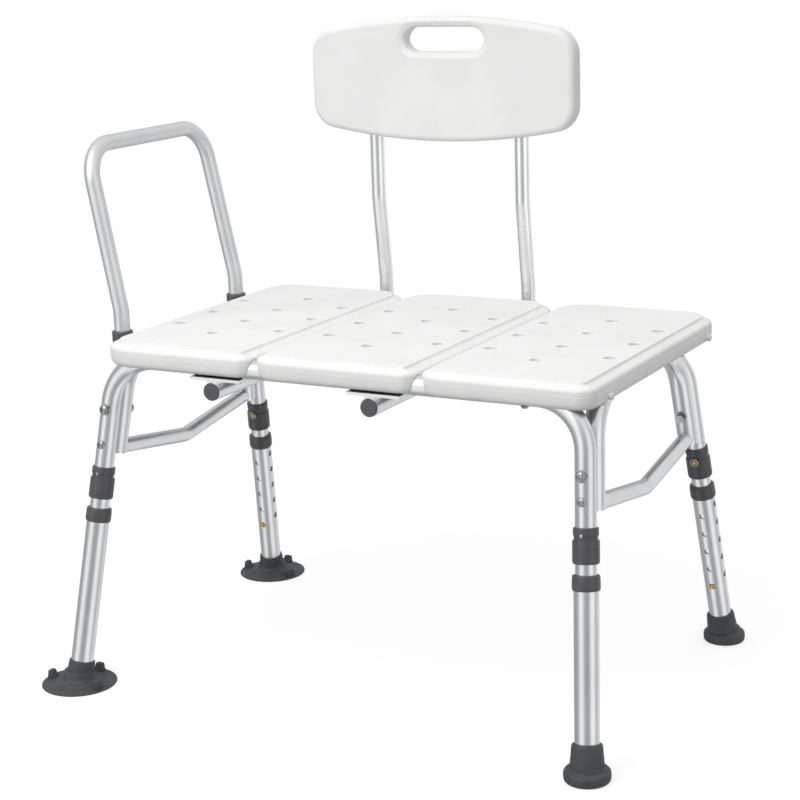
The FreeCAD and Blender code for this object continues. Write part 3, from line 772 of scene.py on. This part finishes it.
@dataclass(frozen=True)
class SeatPins:
    """The short pins that locate one panel against the next, and show at the seat's right end."""

    radius: float = 4.0
    height: float = 406.0
    spread_y: float = 162.0
    inside: float = 6.0
    outside: float = 4.5
    panel_pitch: float = 220.0
    panel_width: float = 217.0
    seat_middle_y: float = 42.0

    def build(self, shop: Workshop) -> Object:
        """Builds the six pins as one group.

        Args:
            shop: The workshop.

        Returns:
            The pins.
        """
        r, length = self.radius, self.inside + self.outside
        pin = turned("locating_pin", ((r, 0), (r, length - 1.2), (r - 0.35, length - 0.4), (r - 1.1, length)),
                     segments=32)
        along_x = Matrix.Rotation(math.pi / 2, 4, "Y")
        pins = []
        for index in (-1, 0, 1):
            for way in (-1, 1):
                x = index * self.panel_pitch + self.panel_width / 2 - self.inside
                y = self.seat_middle_y + way * self.spread_y
                place = Matrix.Translation(STANCE.point(x, y, self.height)) @ along_x
                pins.append(copied(pin, "locating_pin_copy", place))
        bpy.data.objects.remove(pin, do_unlink=True)
        group = soften(joined(pins, "seat_locating_pins"))
        return shop.stand_for(group, "root", MOULDED_POLYETHYLENE, "panel_locating_pins")


# ---------------------------------------------------------------- backrest
@dataclass(frozen=True)
class Backrest:
    """The moulded backrest, whose hand slot has a rounded lip on both faces."""

    slot_x: float = -51.0
    slot_z: float = 768.5
    slot_width: float = 116.0
    slot_height: float = 32.0
    front_y: float = 243.0
    back_y: float = 270.0
    lip: float = 8.0
    post_x: Tuple[float, float] = (-166.0, 50.0)
    post_y: float = 268.0
    screw_z: Tuple[float, float] = (668.0, 722.0)

    def lip_tool(self, face_y: float, way: int) -> Object:
        """A cutter that rounds the slot's rim on one face.

        Args:
            face_y: Where the face is.
            way: +1 on the front face, which looks along -Y, and -1 on the back.

        Returns:
            The cutter: a stadium that shrinks along a quarter circle.
        """
        settle()
        bpy.ops.mesh.primitive_plane_add(size=1.0, location=(0, 0, 0))
        grown = self.slot_width + 2 * self.lip, self.slot_height + 2 * self.lip
        bpy.context.object.scale = (grown[0] * MM, grown[1] * MM, 1.0)
        tool = started("slot_lip_tool")
        edit(tool)
        bpy.ops.mesh.select_mode(type="VERT")
        bpy.ops.mesh.bevel(offset=grown[1] * MM / 2 * 0.9999, segments=16, affect="VERTICES", profile=0.5)
        bpy.ops.mesh.select_all(action="SELECT")
        bpy.ops.mesh.extrude_region_move(TRANSFORM_OT_translate={"value": (0, 0, 3 * MM)})
        steps = 7
        depth, offset = 0.0, self.lip
        for k in range(1, steps + 1):
            turn = math.pi / 2 * k / steps
            next_depth = self.lip * math.sin(turn)
            next_offset = self.lip * (1 - math.sin(math.acos(1 - next_depth / self.lip)))
            bpy.ops.mesh.extrude_region_move(
                TRANSFORM_OT_translate={"value": (0, 0, (next_depth - depth) * MM)})
            ratios = [(size + 2 * next_offset) / (size + 2 * offset)
                      for size in (self.slot_width, self.slot_height)]
            bpy.ops.transform.resize(value=(*ratios, 1.0), center_override=(0, 0, 0))
            depth, offset = next_depth, next_offset
        face_outwards(tool)
        upright = Matrix.Rotation(-way * math.pi / 2, 4, "X")
        start = STANCE.point(self.slot_x, face_y - way * 3.0, self.slot_z)
        return put(tool, Matrix.Translation(start) @ upright)

    def build(self, shop: Workshop) -> Object:
        """Builds the backrest and its screws, and dresses the posts.

        Args:
            shop: The workshop.

        Returns:
            The backrest's moulding.
        """
        source = shop.nodes["backrest_panel"]
        panel = bpy.data.objects.new("backrest_moulding", source.data.copy())
        bpy.context.scene.collection.objects.link(panel)
        face_outwards(panel)
        carve(panel, self.lip_tool(self.front_y, 1))
        carve(panel, self.lip_tool(self.back_y, -1))
        soften(panel, angle=30.0)
        shop.stand_for(panel, "backrest", MOULDED_POLYETHYLENE, "backrest_panel")
        # the posts take the lighter copy of the tube's finish: painted reflection
        shop.keep(("back_post_left", "back_post_right"), POST_TUBE_PAINTED_REFLECTION)
        head = Screw(4.8, 2.6, 3.4).head("back_screw_head")
        heads = []
        for x in self.post_x:
            for z in self.screw_z:
                place = (Matrix.Translation(STANCE.point(x, self.post_y + 9.4, z))
                         @ Matrix.Rotation(-math.pi / 2, 4, "X"))
                heads.append(copied(head, "back_screw_copy", place))
        bpy.data.objects.remove(head, do_unlink=True)
        shop.stand_for(joined(heads, "backrest_screw_heads"), "backrest", ZINC_PLATE, "backrest_screws")
        return panel


# ---------------------------------------------------------------- screws
@dataclass(frozen=True)
class Screw:
    """A pan-head screw with a cross recess, modelled with its bearing face at z = 0."""

    radius: float
    height: float
    recess: float               # length of the recess's arms
    shank_radius: float = 2.5
    shank: float = 6.0

    def head(self, name: str) -> Object:
        """Models the head with its recess and a short length of shank.

        Args:
            name: The piece's name.

        Returns:
            The screw, pointing up.
        """
        r, h = self.radius, self.height
        screw = turned(name, (
            (self.shank_radius, -self.shank), (self.shank_radius, -0.02), (r - 0.2, -0.02), (r, 0.25),
            (r, 0.3 * h),
            (0.95 * r, 0.55 * h), (0.82 * r, 0.78 * h), (0.6 * r, 0.93 * h), (0.32 * r, h),
        ), segments=40)
        arm, wide, deep = self.recess / 2 * MM, 0.24 * self.recess / 2 * MM, 0.55 * h * MM
        tools = []
        for across, along in ((arm, wide), (wide, arm)):
            tool = block("recess_arm", Vector((-across, -along, h * MM - deep)),
                         Vector((across, along, h * MM + MM)))
            tools.append(tool)
        cross = tools[0]
        carve(cross, tools[1], "UNION")
        carve(screw, cross)
        return soften(screw, angle=30.0)


@dataclass(frozen=True)
class FrameFixings:
    """The bolts, washers, nuts and screws that hold a leg frame and a side frame together."""

    tube_radius: float = 12.0
    washer: float = 1.6
    screw_at: float = 306.0
    bolt_radius: float = 3.0

    def bolt_station(self, leg: Leg) -> float:
        """How far up the leg its bolt is, in millimetres."""
        return 350.0 if leg.side is Side.LEFT else 334.0

    def build(self, shop: Workshop) -> None:
        """Builds the fixings' heads and keeps the washers and nuts.

        Args:
            shop: The workshop.
        """
        outward = Matrix.Rotation(math.pi / 2, 4, "X")
        shafts = 57.0
        bolt = Screw(5.9, 3.9, 6.4, self.bolt_radius, shafts).head("frame_bolt")
        screw = Screw(5.3, 3.3, 5.4, self.bolt_radius, 30.0).head("frame_screw")
        bolts, screws = [], []
        for leg in LEGS:
            bolt_face = Matrix.Translation((0, -(self.tube_radius + self.washer) * MM,
                                            self.bolt_station(leg) * MM))
            bolts.append(copied(bolt, "frame_bolt_copy", leg.matrix @ bolt_face @ outward))
            screw_face = Matrix.Translation((0, -self.tube_radius * MM, self.screw_at * MM))
            screws.append(copied(screw, "frame_screw_copy", leg.matrix @ screw_face @ outward))
        for tool in (bolt, screw):
            bpy.data.objects.remove(tool, do_unlink=True)
        shop.stand_for(joined(bolts, "frame_bolt_group"), "root", ZINC_PLATE, "frame_bolts")
        shop.stand_for(joined(screws, "frame_screw_group"), "root", ZINC_PLATE, "frame_screws")
        shop.keep(("frame_washers", "frame_nuts", "seat_screws"), ZINC_PLATE)


# ---------------------------------------------------------------- legs
@dataclass(frozen=True)
class LegFittings:
    """The moulded, rubber and brass pieces of the four telescopic legs, each modelled once."""

    sleeve: Outline = (
        (12.02, 238.0), (13.6, 238.0), (14.6, 238.6), (15.2, 240.4), (15.2, 262.6), (14.9, 263.8),
        (14.0, 264.3), (13.4, 264.6), (13.4, 268.4), (13.7, 268.8), (14.2, 269.2), (14.3, 270.0),
        (14.3, 276.4), (14.1, 277.4), (13.5, 278.0), (12.02, 278.0),
    )
    collar: Outline = (
        (14.02, 208.5), (14.6, 208.5), (15.3, 209.2), (15.8, 210.8), (15.9, 212.6), (15.75, 221.8),
        (15.45, 222.3), (15.45, 222.9), (15.6, 223.3), (15.4, 225.0), (14.7, 225.8), (13.6, 226.0),
        (12.45, 225.8), (12.45, 222.0), (14.02, 222.0),
    )
    button_at: float = 262.0
    button_hole_radius: float = 3.95
    eyelet_from_axis: float = 14.35
    grooves: int = 12
    groove_from_axis: float = 15.5
    groove_radius: float = 0.75
    groove_span: Tuple[float, float] = (241.5, 256.5)   # stops short of the button's hole
    rivet_at: float = 269.0
    rivet_from_axis: float = 13.3
    height_button_at: float = 86.0

    def sleeve_piece(self) -> Object:
        """The coupling sleeve, with shallow grip grooves and the hole for its button."""
        sleeve = turned("coupling_sleeve", self.sleeve, closed=True)
        tool = bar("button_hole_tool", Vector((0, 0, self.button_at * MM)),
                   Vector((0, 0.03, self.button_at * MM)),
                   self.button_hole_radius * MM)
        grooves = []
        for index in range(self.grooves):
            turn = Matrix.Rotation(math.tau * (index + 0.5) / self.grooves, 4, "Z")
            low, high = (turn @ Vector((self.groove_from_axis * MM, 0, z * MM)) for z in self.groove_span)
            grooves.append(bar("sleeve_groove_tool", low, high, self.groove_radius * MM, 12))
        carve(sleeve, joined([tool] + grooves, "sleeve_tools"))
        return soften(sleeve, angle=40.0)

    def eyelet_piece(self) -> Object:
        """The bright eyelet set round the sleeve's button."""
        ring = turned("button_eyelet",
                      ((3.95, 0.0), (5.3, 0.0), (5.3, 0.7), (4.9, 1.15), (4.3, 1.15), (3.95, 0.7)),
                      closed=True, segments=48)
        place = (Matrix.Translation((0, self.eyelet_from_axis * MM, self.button_at * MM))
                 @ Matrix.Rotation(-math.pi / 2, 4, "X"))
        return soften(put(ring, place))

    def button_piece(self, name: str, station: float, seat: float, tip: float) -> Object:
        """A snap button: a flange inside the tube and a domed pin through its hole.

        Args:
            name: The piece's name.
            station: How far up the leg it is.
            seat: How far the flange's back is from the leg's axis.
            tip: How far the dome's top is.

        Returns:
            The button, in the leg's axes.
        """
        button = turned(name, (
            (4.7, 0.0), (4.8, 0.1), (4.8, 1.1), (4.7, 1.2), (3.5, 1.2), (3.5, tip - seat - 1.9),
            (3.3, tip - seat - 1.2), (2.8, tip - seat - 0.6), (1.9, tip - seat - 0.2), (0.8, tip - seat),
        ), segments=40)
        place = Matrix.Translation((0, seat * MM, station * MM)) @ Matrix.Rotation(-math.pi / 2, 4, "X")
        return soften(put(button, place))

    def rivet_piece(self) -> Object:
        """The small bright rivet on the sleeve's outer side."""
        rivet = turned("sleeve_rivet",
                       ((1.8, -3.0), (1.8, 0.0), (2.4, 0.0), (2.3, 0.6), (1.8, 1.1), (0.7, 1.35)),
                       segments=32)
        place = (Matrix.Translation((0, -self.rivet_from_axis * MM, self.rivet_at * MM))
                 @ Matrix.Rotation(math.pi / 2, 4, "X"))
        return soften(put(rivet, place))

    def build(self, shop: Workshop) -> None:
        """Builds every leg's fittings and dresses its tubes.

        Args:
            shop: The workshop.
        """
        sleeve, eyelet, rivet = self.sleeve_piece(), self.eyelet_piece(), self.rivet_piece()
        collar = soften(turned("lock_collar", self.collar, closed=True), angle=40.0)
        height_button = self.button_piece("height_button", self.height_button_at, 7.5, 16.4)
        sleeve_button = self.button_piece("sleeve_button", self.button_at, 5.7, 16.4)
        rivets = []
        for leg in LEGS:
            moving = "lower_leg_" + leg.name
            for pattern, stem, node, body, finish in (
                (sleeve, "coupling_sleeve_moulding_", "coupling_sleeve_", "root", MOULDED_NYLON),
                (collar, "lock_collar_moulding_", "lock_collar_", moving, MOULDED_NYLON),
                (height_button, "height_snap_button_", "height_button_", "height_button_" + leg.name,
                 TURNED_BRASS),
                (sleeve_button, "sleeve_snap_button_", "sleeve_button_", "sleeve_button_" + leg.name,
                 TURNED_BRASS),
            ):
                shop.stand_for(copied(pattern, stem + leg.name, leg.matrix), body, finish, node + leg.name)
            shop.stand_for(copied(eyelet, "button_eyelet_" + leg.name, leg.matrix), "root", ZINC_PLATE)
            rivets.append(copied(rivet, "sleeve_rivet_copy", leg.matrix))
        shop.stand_for(joined(rivets, "sleeve_rivet_group"), "root", ZINC_PLATE, "sleeve_rivets")
        for pattern in (sleeve, eyelet, rivet, collar, height_button, sleeve_button):
            bpy.data.objects.remove(pattern, do_unlink=True)
        for leg in LEGS:
            shop.keep(("inner_leg_tube_" + leg.name, "lower_leg_tube_" + leg.name), ANODISED_TUBE)
        shop.keep(("height_button_springs", "sleeve_button_springs"), ZINC_PLATE)


# ---------------------------------------------------------------- feet
@dataclass(frozen=True)
class SuctionFoot:
    """A suction cup: a thin rim on the floor, a raised dome and three tabs to break the seal."""

    cup: Outline = (
        (46.6, 0.0), (47.0, 0.5), (47.0, 1.7), (46.5, 2.3), (41.0, 2.9), (31.4, 4.2), (30.9, 5.2),
        (30.2, 5.8), (24.4, 6.9), (22.4, 7.6), (21.2, 8.8), (20.4, 10.6), (19.6, 14.0), (18.6, 17.0),
        (18.0, 18.0),
    )
    hollow: Outline = ((42.5, -1.0), (42.5, 0.0), (38.0, 1.2), (28.0, 2.4), (8.0, 3.2))
    socket: Outline = ((17.6, 9.0), (16.6, 24.0), (16.2, 28.4), (15.7, 29.6), (14.9, 30.0), (14.05, 29.4),
                       (14.05, 9.0))
    tab_angles: Tuple[float, ...] = (85.0, 187.0, 343.0)

    def tab(self, angle: float) -> Object:
        """One pull tab, which stands up at the rim.

        Args:
            angle: Where it is round the cup, in degrees.

        Returns:
            The tab, about the leg's foot.
        """
        tab = block("tab", Vector((32.0, -5.6, 1.6)) * MM, Vector((43.0, 5.6, 5.0)) * MM)
        edit(tab)
        choose(tab, Element.FACES, lambda face: face.normal.z > 0.9)
        bpy.ops.mesh.extrude_region_move(TRANSFORM_OT_translate={"value": (0, 0, 4.0 * MM)})
        bpy.ops.transform.resize(value=(0.70, 0.92, 1.0), center_override=Vector((41.5, 0, 9.0)) * MM)
        bpy.ops.mesh.extrude_region_move(TRANSFORM_OT_translate={"value": (0, 0, 4.2 * MM)})
        bpy.ops.transform.resize(value=(0.80, 0.92, 1.0), center_override=Vector((42.0, 0, 13.2)) * MM)
        settle()
        use_modifier(tab, "BEVEL", width=0.9 * MM, segments=3, limit_method="ANGLE",
                     angle_limit=math.radians(30))
        return put(tab, Matrix.Rotation(math.radians(angle), 4, "Z"))

    def build(self, shop: Workshop, leg: Leg) -> Object:
        """Builds the foot under one leg.

        Args:
            shop: The workshop.
            leg: The leg.

        Returns:
            The foot.
        """
        foot = turned("suction_cup_" + leg.name, self.cup, segments=96)
        carve(foot, turned("cup_hollow_tool", self.hollow, segments=96))
        for angle in self.tab_angles:
            carve(foot, self.tab(angle), "UNION")
        put(foot, Matrix.Translation(leg.foot))
        seat = turned("leg_seat_tool", ((14.05, 9.0), (14.05, 40.0)), segments=72)
        socket = put(turned("socket", self.socket, closed=True), leg.matrix)
        carve(foot, put(seat, leg.matrix))
        carve(foot, socket, "UNION")
        soften(foot, angle=38.0)
        return shop.stand_for(foot, "lower_leg_" + leg.name, MOULDED_RUBBER, "suction_foot_" + leg.name)


@dataclass(frozen=True)
class RubberTip:
    """A rubber tip: a tapered socket on a wide ribbed base."""

    base: Outline = (
        (22.4, 0.0), (24.8, 0.6), (26.0, 1.9), (26.35, 3.6), (26.4, 4.4), (26.1, 4.7), (26.1, 5.1),
        (26.5, 5.4), (26.55, 8.6), (26.25, 8.9), (26.25, 9.3), (26.45, 9.6), (26.2, 11.0), (25.3, 12.3),
        (23.8, 13.0), (22.0, 13.4), (20.9, 14.2), (20.3, 15.6), (20.0, 18.0),
    )
    socket: Outline = ((19.8, 9.0), (19.2, 19.0), (18.2, 30.0), (17.7, 37.0), (17.2, 39.2), (16.2, 40.4),
                       (15.0, 41.0),
                       (14.05, 40.6), (14.05, 9.0))

    def build(self, shop: Workshop, leg: Leg) -> Object:
        """Builds the tip under one leg.

        Args:
            shop: The workshop.
            leg: The leg.

        Returns:
            The tip.
        """
        tip = put(turned("rubber_tip_" + leg.name, self.base, segments=96), Matrix.Translation(leg.foot))
        carve(tip, put(turned("leg_seat_tool", ((14.05, 9.0), (14.05, 60.0)), segments=72), leg.matrix))
        carve(tip, put(turned("socket", self.socket, closed=True), leg.matrix), "UNION")
        soften(tip, angle=38.0)
        return shop.stand_for(tip, "lower_leg_" + leg.name, MOULDED_RUBBER, "rubber_foot_" + leg.name)


# ---------------------------------------------------------------- frame, receivers and arm rail
@dataclass(frozen=True)
class Frame:
    """The bent tubes, the receivers that hold the backrest's posts, and the plugs in their front ends."""

    tubes: Tuple[str, ...] = (
        "front_leg_frame", "rear_leg_frame", "left_side_frame", "right_side_frame", "left_brace",
        "right_brace",
        "back_receiver_left", "back_receiver_right", "receiver_straps",
    )
    receiver_x: Tuple[float, float] = (-166.0, 50.0)
    receiver_z: float = 378.0
    receiver_front: float = -165.0
    plug: Outline = ((9.9, -14.0), (9.9, 0.0), (10.9, 0.0), (10.9, 1.2), (10.6, 1.75), (9.9, 2.0), (6.6, 2.0),
                     (6.3, 1.8))

    def build(self, shop: Workshop) -> Object:
        """Builds the plugs and dresses the tubes.

        Args:
            shop: The workshop.

        Returns:
            The two plugs.
        """
        shop.keep(self.tubes, ANODISED_TUBE)
        plug = soften(turned("receiver_plug", self.plug))
        forwards = Matrix.Rotation(math.pi / 2, 4, "X")
        plugs = []
        for x in self.receiver_x:
            place = Matrix.Translation(STANCE.point(x, self.receiver_front, self.receiver_z)) @ forwards
            plugs.append(copied(plug, "receiver_plug_copy", place))
        bpy.data.objects.remove(plug, do_unlink=True)
        return shop.stand_for(joined(plugs, "receiver_plugs"), "root", MOULDED_NYLON, "receiver_caps")


@dataclass(frozen=True)
class ArmRail:
    """The arm rail and the sockets that it lifts out of."""

    x: float = -345.0
    uprights_y: Tuple[float, float] = (-94.0, 172.0)
    collar: Outline = (
        (12.12, 401.0), (13.0, 401.0), (13.4, 401.5), (13.4, 424.6), (13.1, 425.8), (12.2, 426.7),
        (11.2, 426.8), (10.35, 426.4), (10.35, 424.05), (12.12, 424.05),
    )

    def build(self, shop: Workshop) -> Object:
        """Builds the sockets' collars and dresses the rail.

        Args:
            shop: The workshop.

        Returns:
            The two collars.
        """
        shop.keep(("arm_rail",), BLASTED_TUBE)
        shop.keep(("arm_socket_tubes", "arm_socket_carrier"), ANODISED_TUBE)
        collar = soften(turned("arm_collar", self.collar, closed=True))
        collars = []
        for y in self.uprights_y:
            collars.append(copied(collar, "arm_collar_copy",
                                  Matrix.Translation(STANCE.point(self.x, y, 0.0))))
        bpy.data.objects.remove(collar, do_unlink=True)
        return shop.stand_for(joined(collars, "arm_rail_collars"), "root", MOULDED_NYLON,
                              "arm_socket_collars")


# ---------------------------------------------------------------- studio
@dataclass(frozen=True)
class Studio:
    """The camera, the pale floor and the soft light."""

    azimuth: float = 28.38
    elevation: float = 13.89
    roll: float = -1.78
    eye: Tuple[float, float, float] = (1092.5, -2019.4, 912.1)
    lens: float = 85.9
    floor_half: float = 40.0
    floor_glow: float = 0.74

    def add_camera(self) -> None:
        """Puts the camera where the bench is seen from its front right, a little above."""
        az, el, roll = (math.radians(angle) for angle in (self.azimuth, self.elevation, self.roll))
        ahead = Vector((-math.sin(az) * math.cos(el), math.cos(az) * math.cos(el), -math.sin(el)))
        level = Vector((math.cos(az), math.sin(az), 0.0))
        upright = level.cross(ahead)
        right = math.cos(roll) * level + math.sin(roll) * upright
        up = -math.sin(roll) * level + math.cos(roll) * upright
        data = bpy.data.cameras.new("bench_camera")
        data.lens = self.lens
        data.sensor_width = 36.0
        data.clip_end = 200.0
        camera = bpy.data.objects.new("bench_camera", data)
        turn = Matrix((right, up, -ahead)).transposed().to_4x4()
        camera.matrix_world = Matrix.Translation(STANCE.point(*self.eye)) @ turn
        bpy.context.scene.collection.objects.link(camera)
        bpy.context.scene.camera = camera

    def add_floor(self) -> None:
        """Lays a plain pale floor. Gloss rays pass through it, so that metal mirrors the soft light alone."""
        settle()
        bpy.ops.mesh.primitive_plane_add(size=2 * self.floor_half, location=(0, 0, -0.2 * MM))
        floor = started("studio_floor")
        material = bpy.data.materials.new("pale_floor")
        material.use_nodes = True
        tree = material.node_tree
        tree.nodes.clear()
        path = add_node(tree, "ShaderNodeLightPath")
        paint = add_node(tree, "ShaderNodeBsdfDiffuse", values={"Color": linear("#9C9C9C")})
        glow = add_node(tree, "ShaderNodeEmission", {"Color": path.outputs["Is Camera Ray"]},
                        {"Strength": self.floor_glow})
        lit = add_node(tree, "ShaderNodeAddShader", {0: paint.outputs["BSDF"], 1: glow.outputs["Emission"]})
        clear = add_node(tree, "ShaderNodeBsdfTransparent")
        mix = add_node(tree, "ShaderNodeMixShader",
                       {0: path.outputs["Is Glossy Ray"], 1: lit.outputs["Shader"],
                                                     2: clear.outputs["BSDF"]})
        add_node(tree, "ShaderNodeOutputMaterial", {"Surface": mix.outputs["Shader"]})
        floor.data.materials.append(material)

    def add_light(self) -> None:
        """Surrounds the bench with soft light from tall bright panels and a bright ceiling."""
        world = bpy.data.worlds.new("studio_light")
        bpy.context.scene.world = world
        world.use_nodes = True
        tree = world.node_tree
        tree.nodes.clear()
        way = add_node(tree, "ShaderNodeTexCoord").outputs["Generated"]
        axes = add_node(tree, "ShaderNodeSeparateXYZ", {"Vector": way})
        turn = add_node(tree, "ShaderNodeMath", {0: axes.outputs["Y"], 1: axes.outputs["X"]},
                        operation="ARCTAN2")
        share = add_node(tree, "ShaderNodeMapRange", {"Value": turn.outputs["Value"]},
                         {"From Min": -math.pi, "From Max": math.pi, "To Min": 0.0, "To Max": 1.0})
        ramp = add_node(tree, "ShaderNodeValToRGB", {"Fac": share.outputs["Result"]})
        ramp.color_ramp.interpolation = "EASE"
        stops = ((0.0, 0.38), (0.09, 0.42), (0.145, 0.98), (0.205, 0.98), (0.27, 0.40), (0.37, 0.36),
                 (0.425, 1.0),
                 (0.50, 1.0), (0.56, 0.44), (0.66, 0.80), (0.73, 0.72), (0.81, 0.42), (1.0, 0.38))
        while len(ramp.color_ramp.elements) < len(stops):
            ramp.color_ramp.elements.new(0.5)
        for element, (position, value) in zip(ramp.color_ramp.elements, stops):
            element.position = position
            element.color = (value, value, value, 1.0)
        height = add_node(tree, "ShaderNodeMapRange", {"Value": axes.outputs["Z"]},
                          {"From Min": 0.25, "From Max": 0.75, "To Min": 0.0, "To Max": 1.0})
        mirrored = add_node(tree, "ShaderNodeMix", {0: height.outputs["Result"], 6: ramp.outputs["Color"]},
                            {7: (0.8, 0.8, 0.8, 1.0)}, data_type="RGBA")
        panels = add_node(tree, "ShaderNodeBackground", {"Color": mirrored.outputs[2]}, {"Strength": 1.35})
        rise = add_node(tree, "ShaderNodeMapRange", {"Value": axes.outputs["Z"]},
                        {"From Min": 0.0, "From Max": 1.0, "To Min": 0.40, "To Max": 0.96})
        tent = add_node(tree, "ShaderNodeBackground", {"Strength": rise.outputs["Result"]},
                        {"Color": (1, 1, 1, 1)})
        plain = add_node(tree, "ShaderNodeBackground", values={"Color": (1, 1, 1, 1), "Strength": 1.0})
        path = add_node(tree, "ShaderNodeLightPath")
        seen = add_node(tree, "ShaderNodeMixShader", {0: path.outputs["Is Glossy Ray"],
                                                      1: tent.outputs["Background"],
                                                      2: panels.outputs["Background"]})
        mix = add_node(tree, "ShaderNodeMixShader",
                       {0: path.outputs["Is Camera Ray"], 1: seen.outputs["Shader"],
                                                     2: plain.outputs["Background"]})
        add_node(tree, "ShaderNodeOutputWorld", {"Surface": mix.outputs["Shader"]})
        self.add_softbox("key_softbox", Vector((-0.7, -2.1, 2.1)), 2.0, 26.0)
        self.add_softbox("back_softbox", Vector((-0.3, -1.0, 1.9)), 0.8, 4.0)

    def add_softbox(self, name: str, place: Vector, size: float, power: float) -> None:
        """Hangs a square softbox that faces the seat.

        Args:
            name: The light's name.
            place: Where it hangs.
            size: Its side.
            power: Its power in watts.
        """
        data = bpy.data.lights.new(name, "AREA")
        data.shape = "SQUARE"
        data.size = size
        data.energy = power
        light = bpy.data.objects.new(name, data)
        aim = (Vector((0.0, 0.0, 0.4)) - place).to_track_quat("-Z", "Y")
        light.matrix_world = Matrix.Translation(place) @ aim.to_matrix().to_4x4()
        bpy.context.scene.collection.objects.link(light)


def main() -> None:
    """Builds the bench's looks in order."""
    logging.basicConfig(level=logging.INFO, format="%(name)s: %(relativeCreated)d ms %(message)s")
    for item in list(bpy.data.objects):
        bpy.data.objects.remove(item, do_unlink=True)
    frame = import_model()
    shop = Workshop(frame["nodes"], Paintbox())
    studio = Studio()
    studio.add_camera()
    for index in (-1, 0, 1):
        SeatPanel(index).build(shop)
    SeatPins().build(shop)
    Backrest().build(shop)
    Frame().build(shop)
    FrameFixings().build(shop)
    ArmRail().build(shop)
    LegFittings().build(shop)
    for leg in LEGS:
        (SuctionFoot() if leg.side is Side.LEFT else RubberTip()).build(shop, leg)
    studio.add_floor()
    studio.add_light()
    bpy.context.scene.view_settings.view_transform = "Standard"


if __name__ == "__main__":
    main()
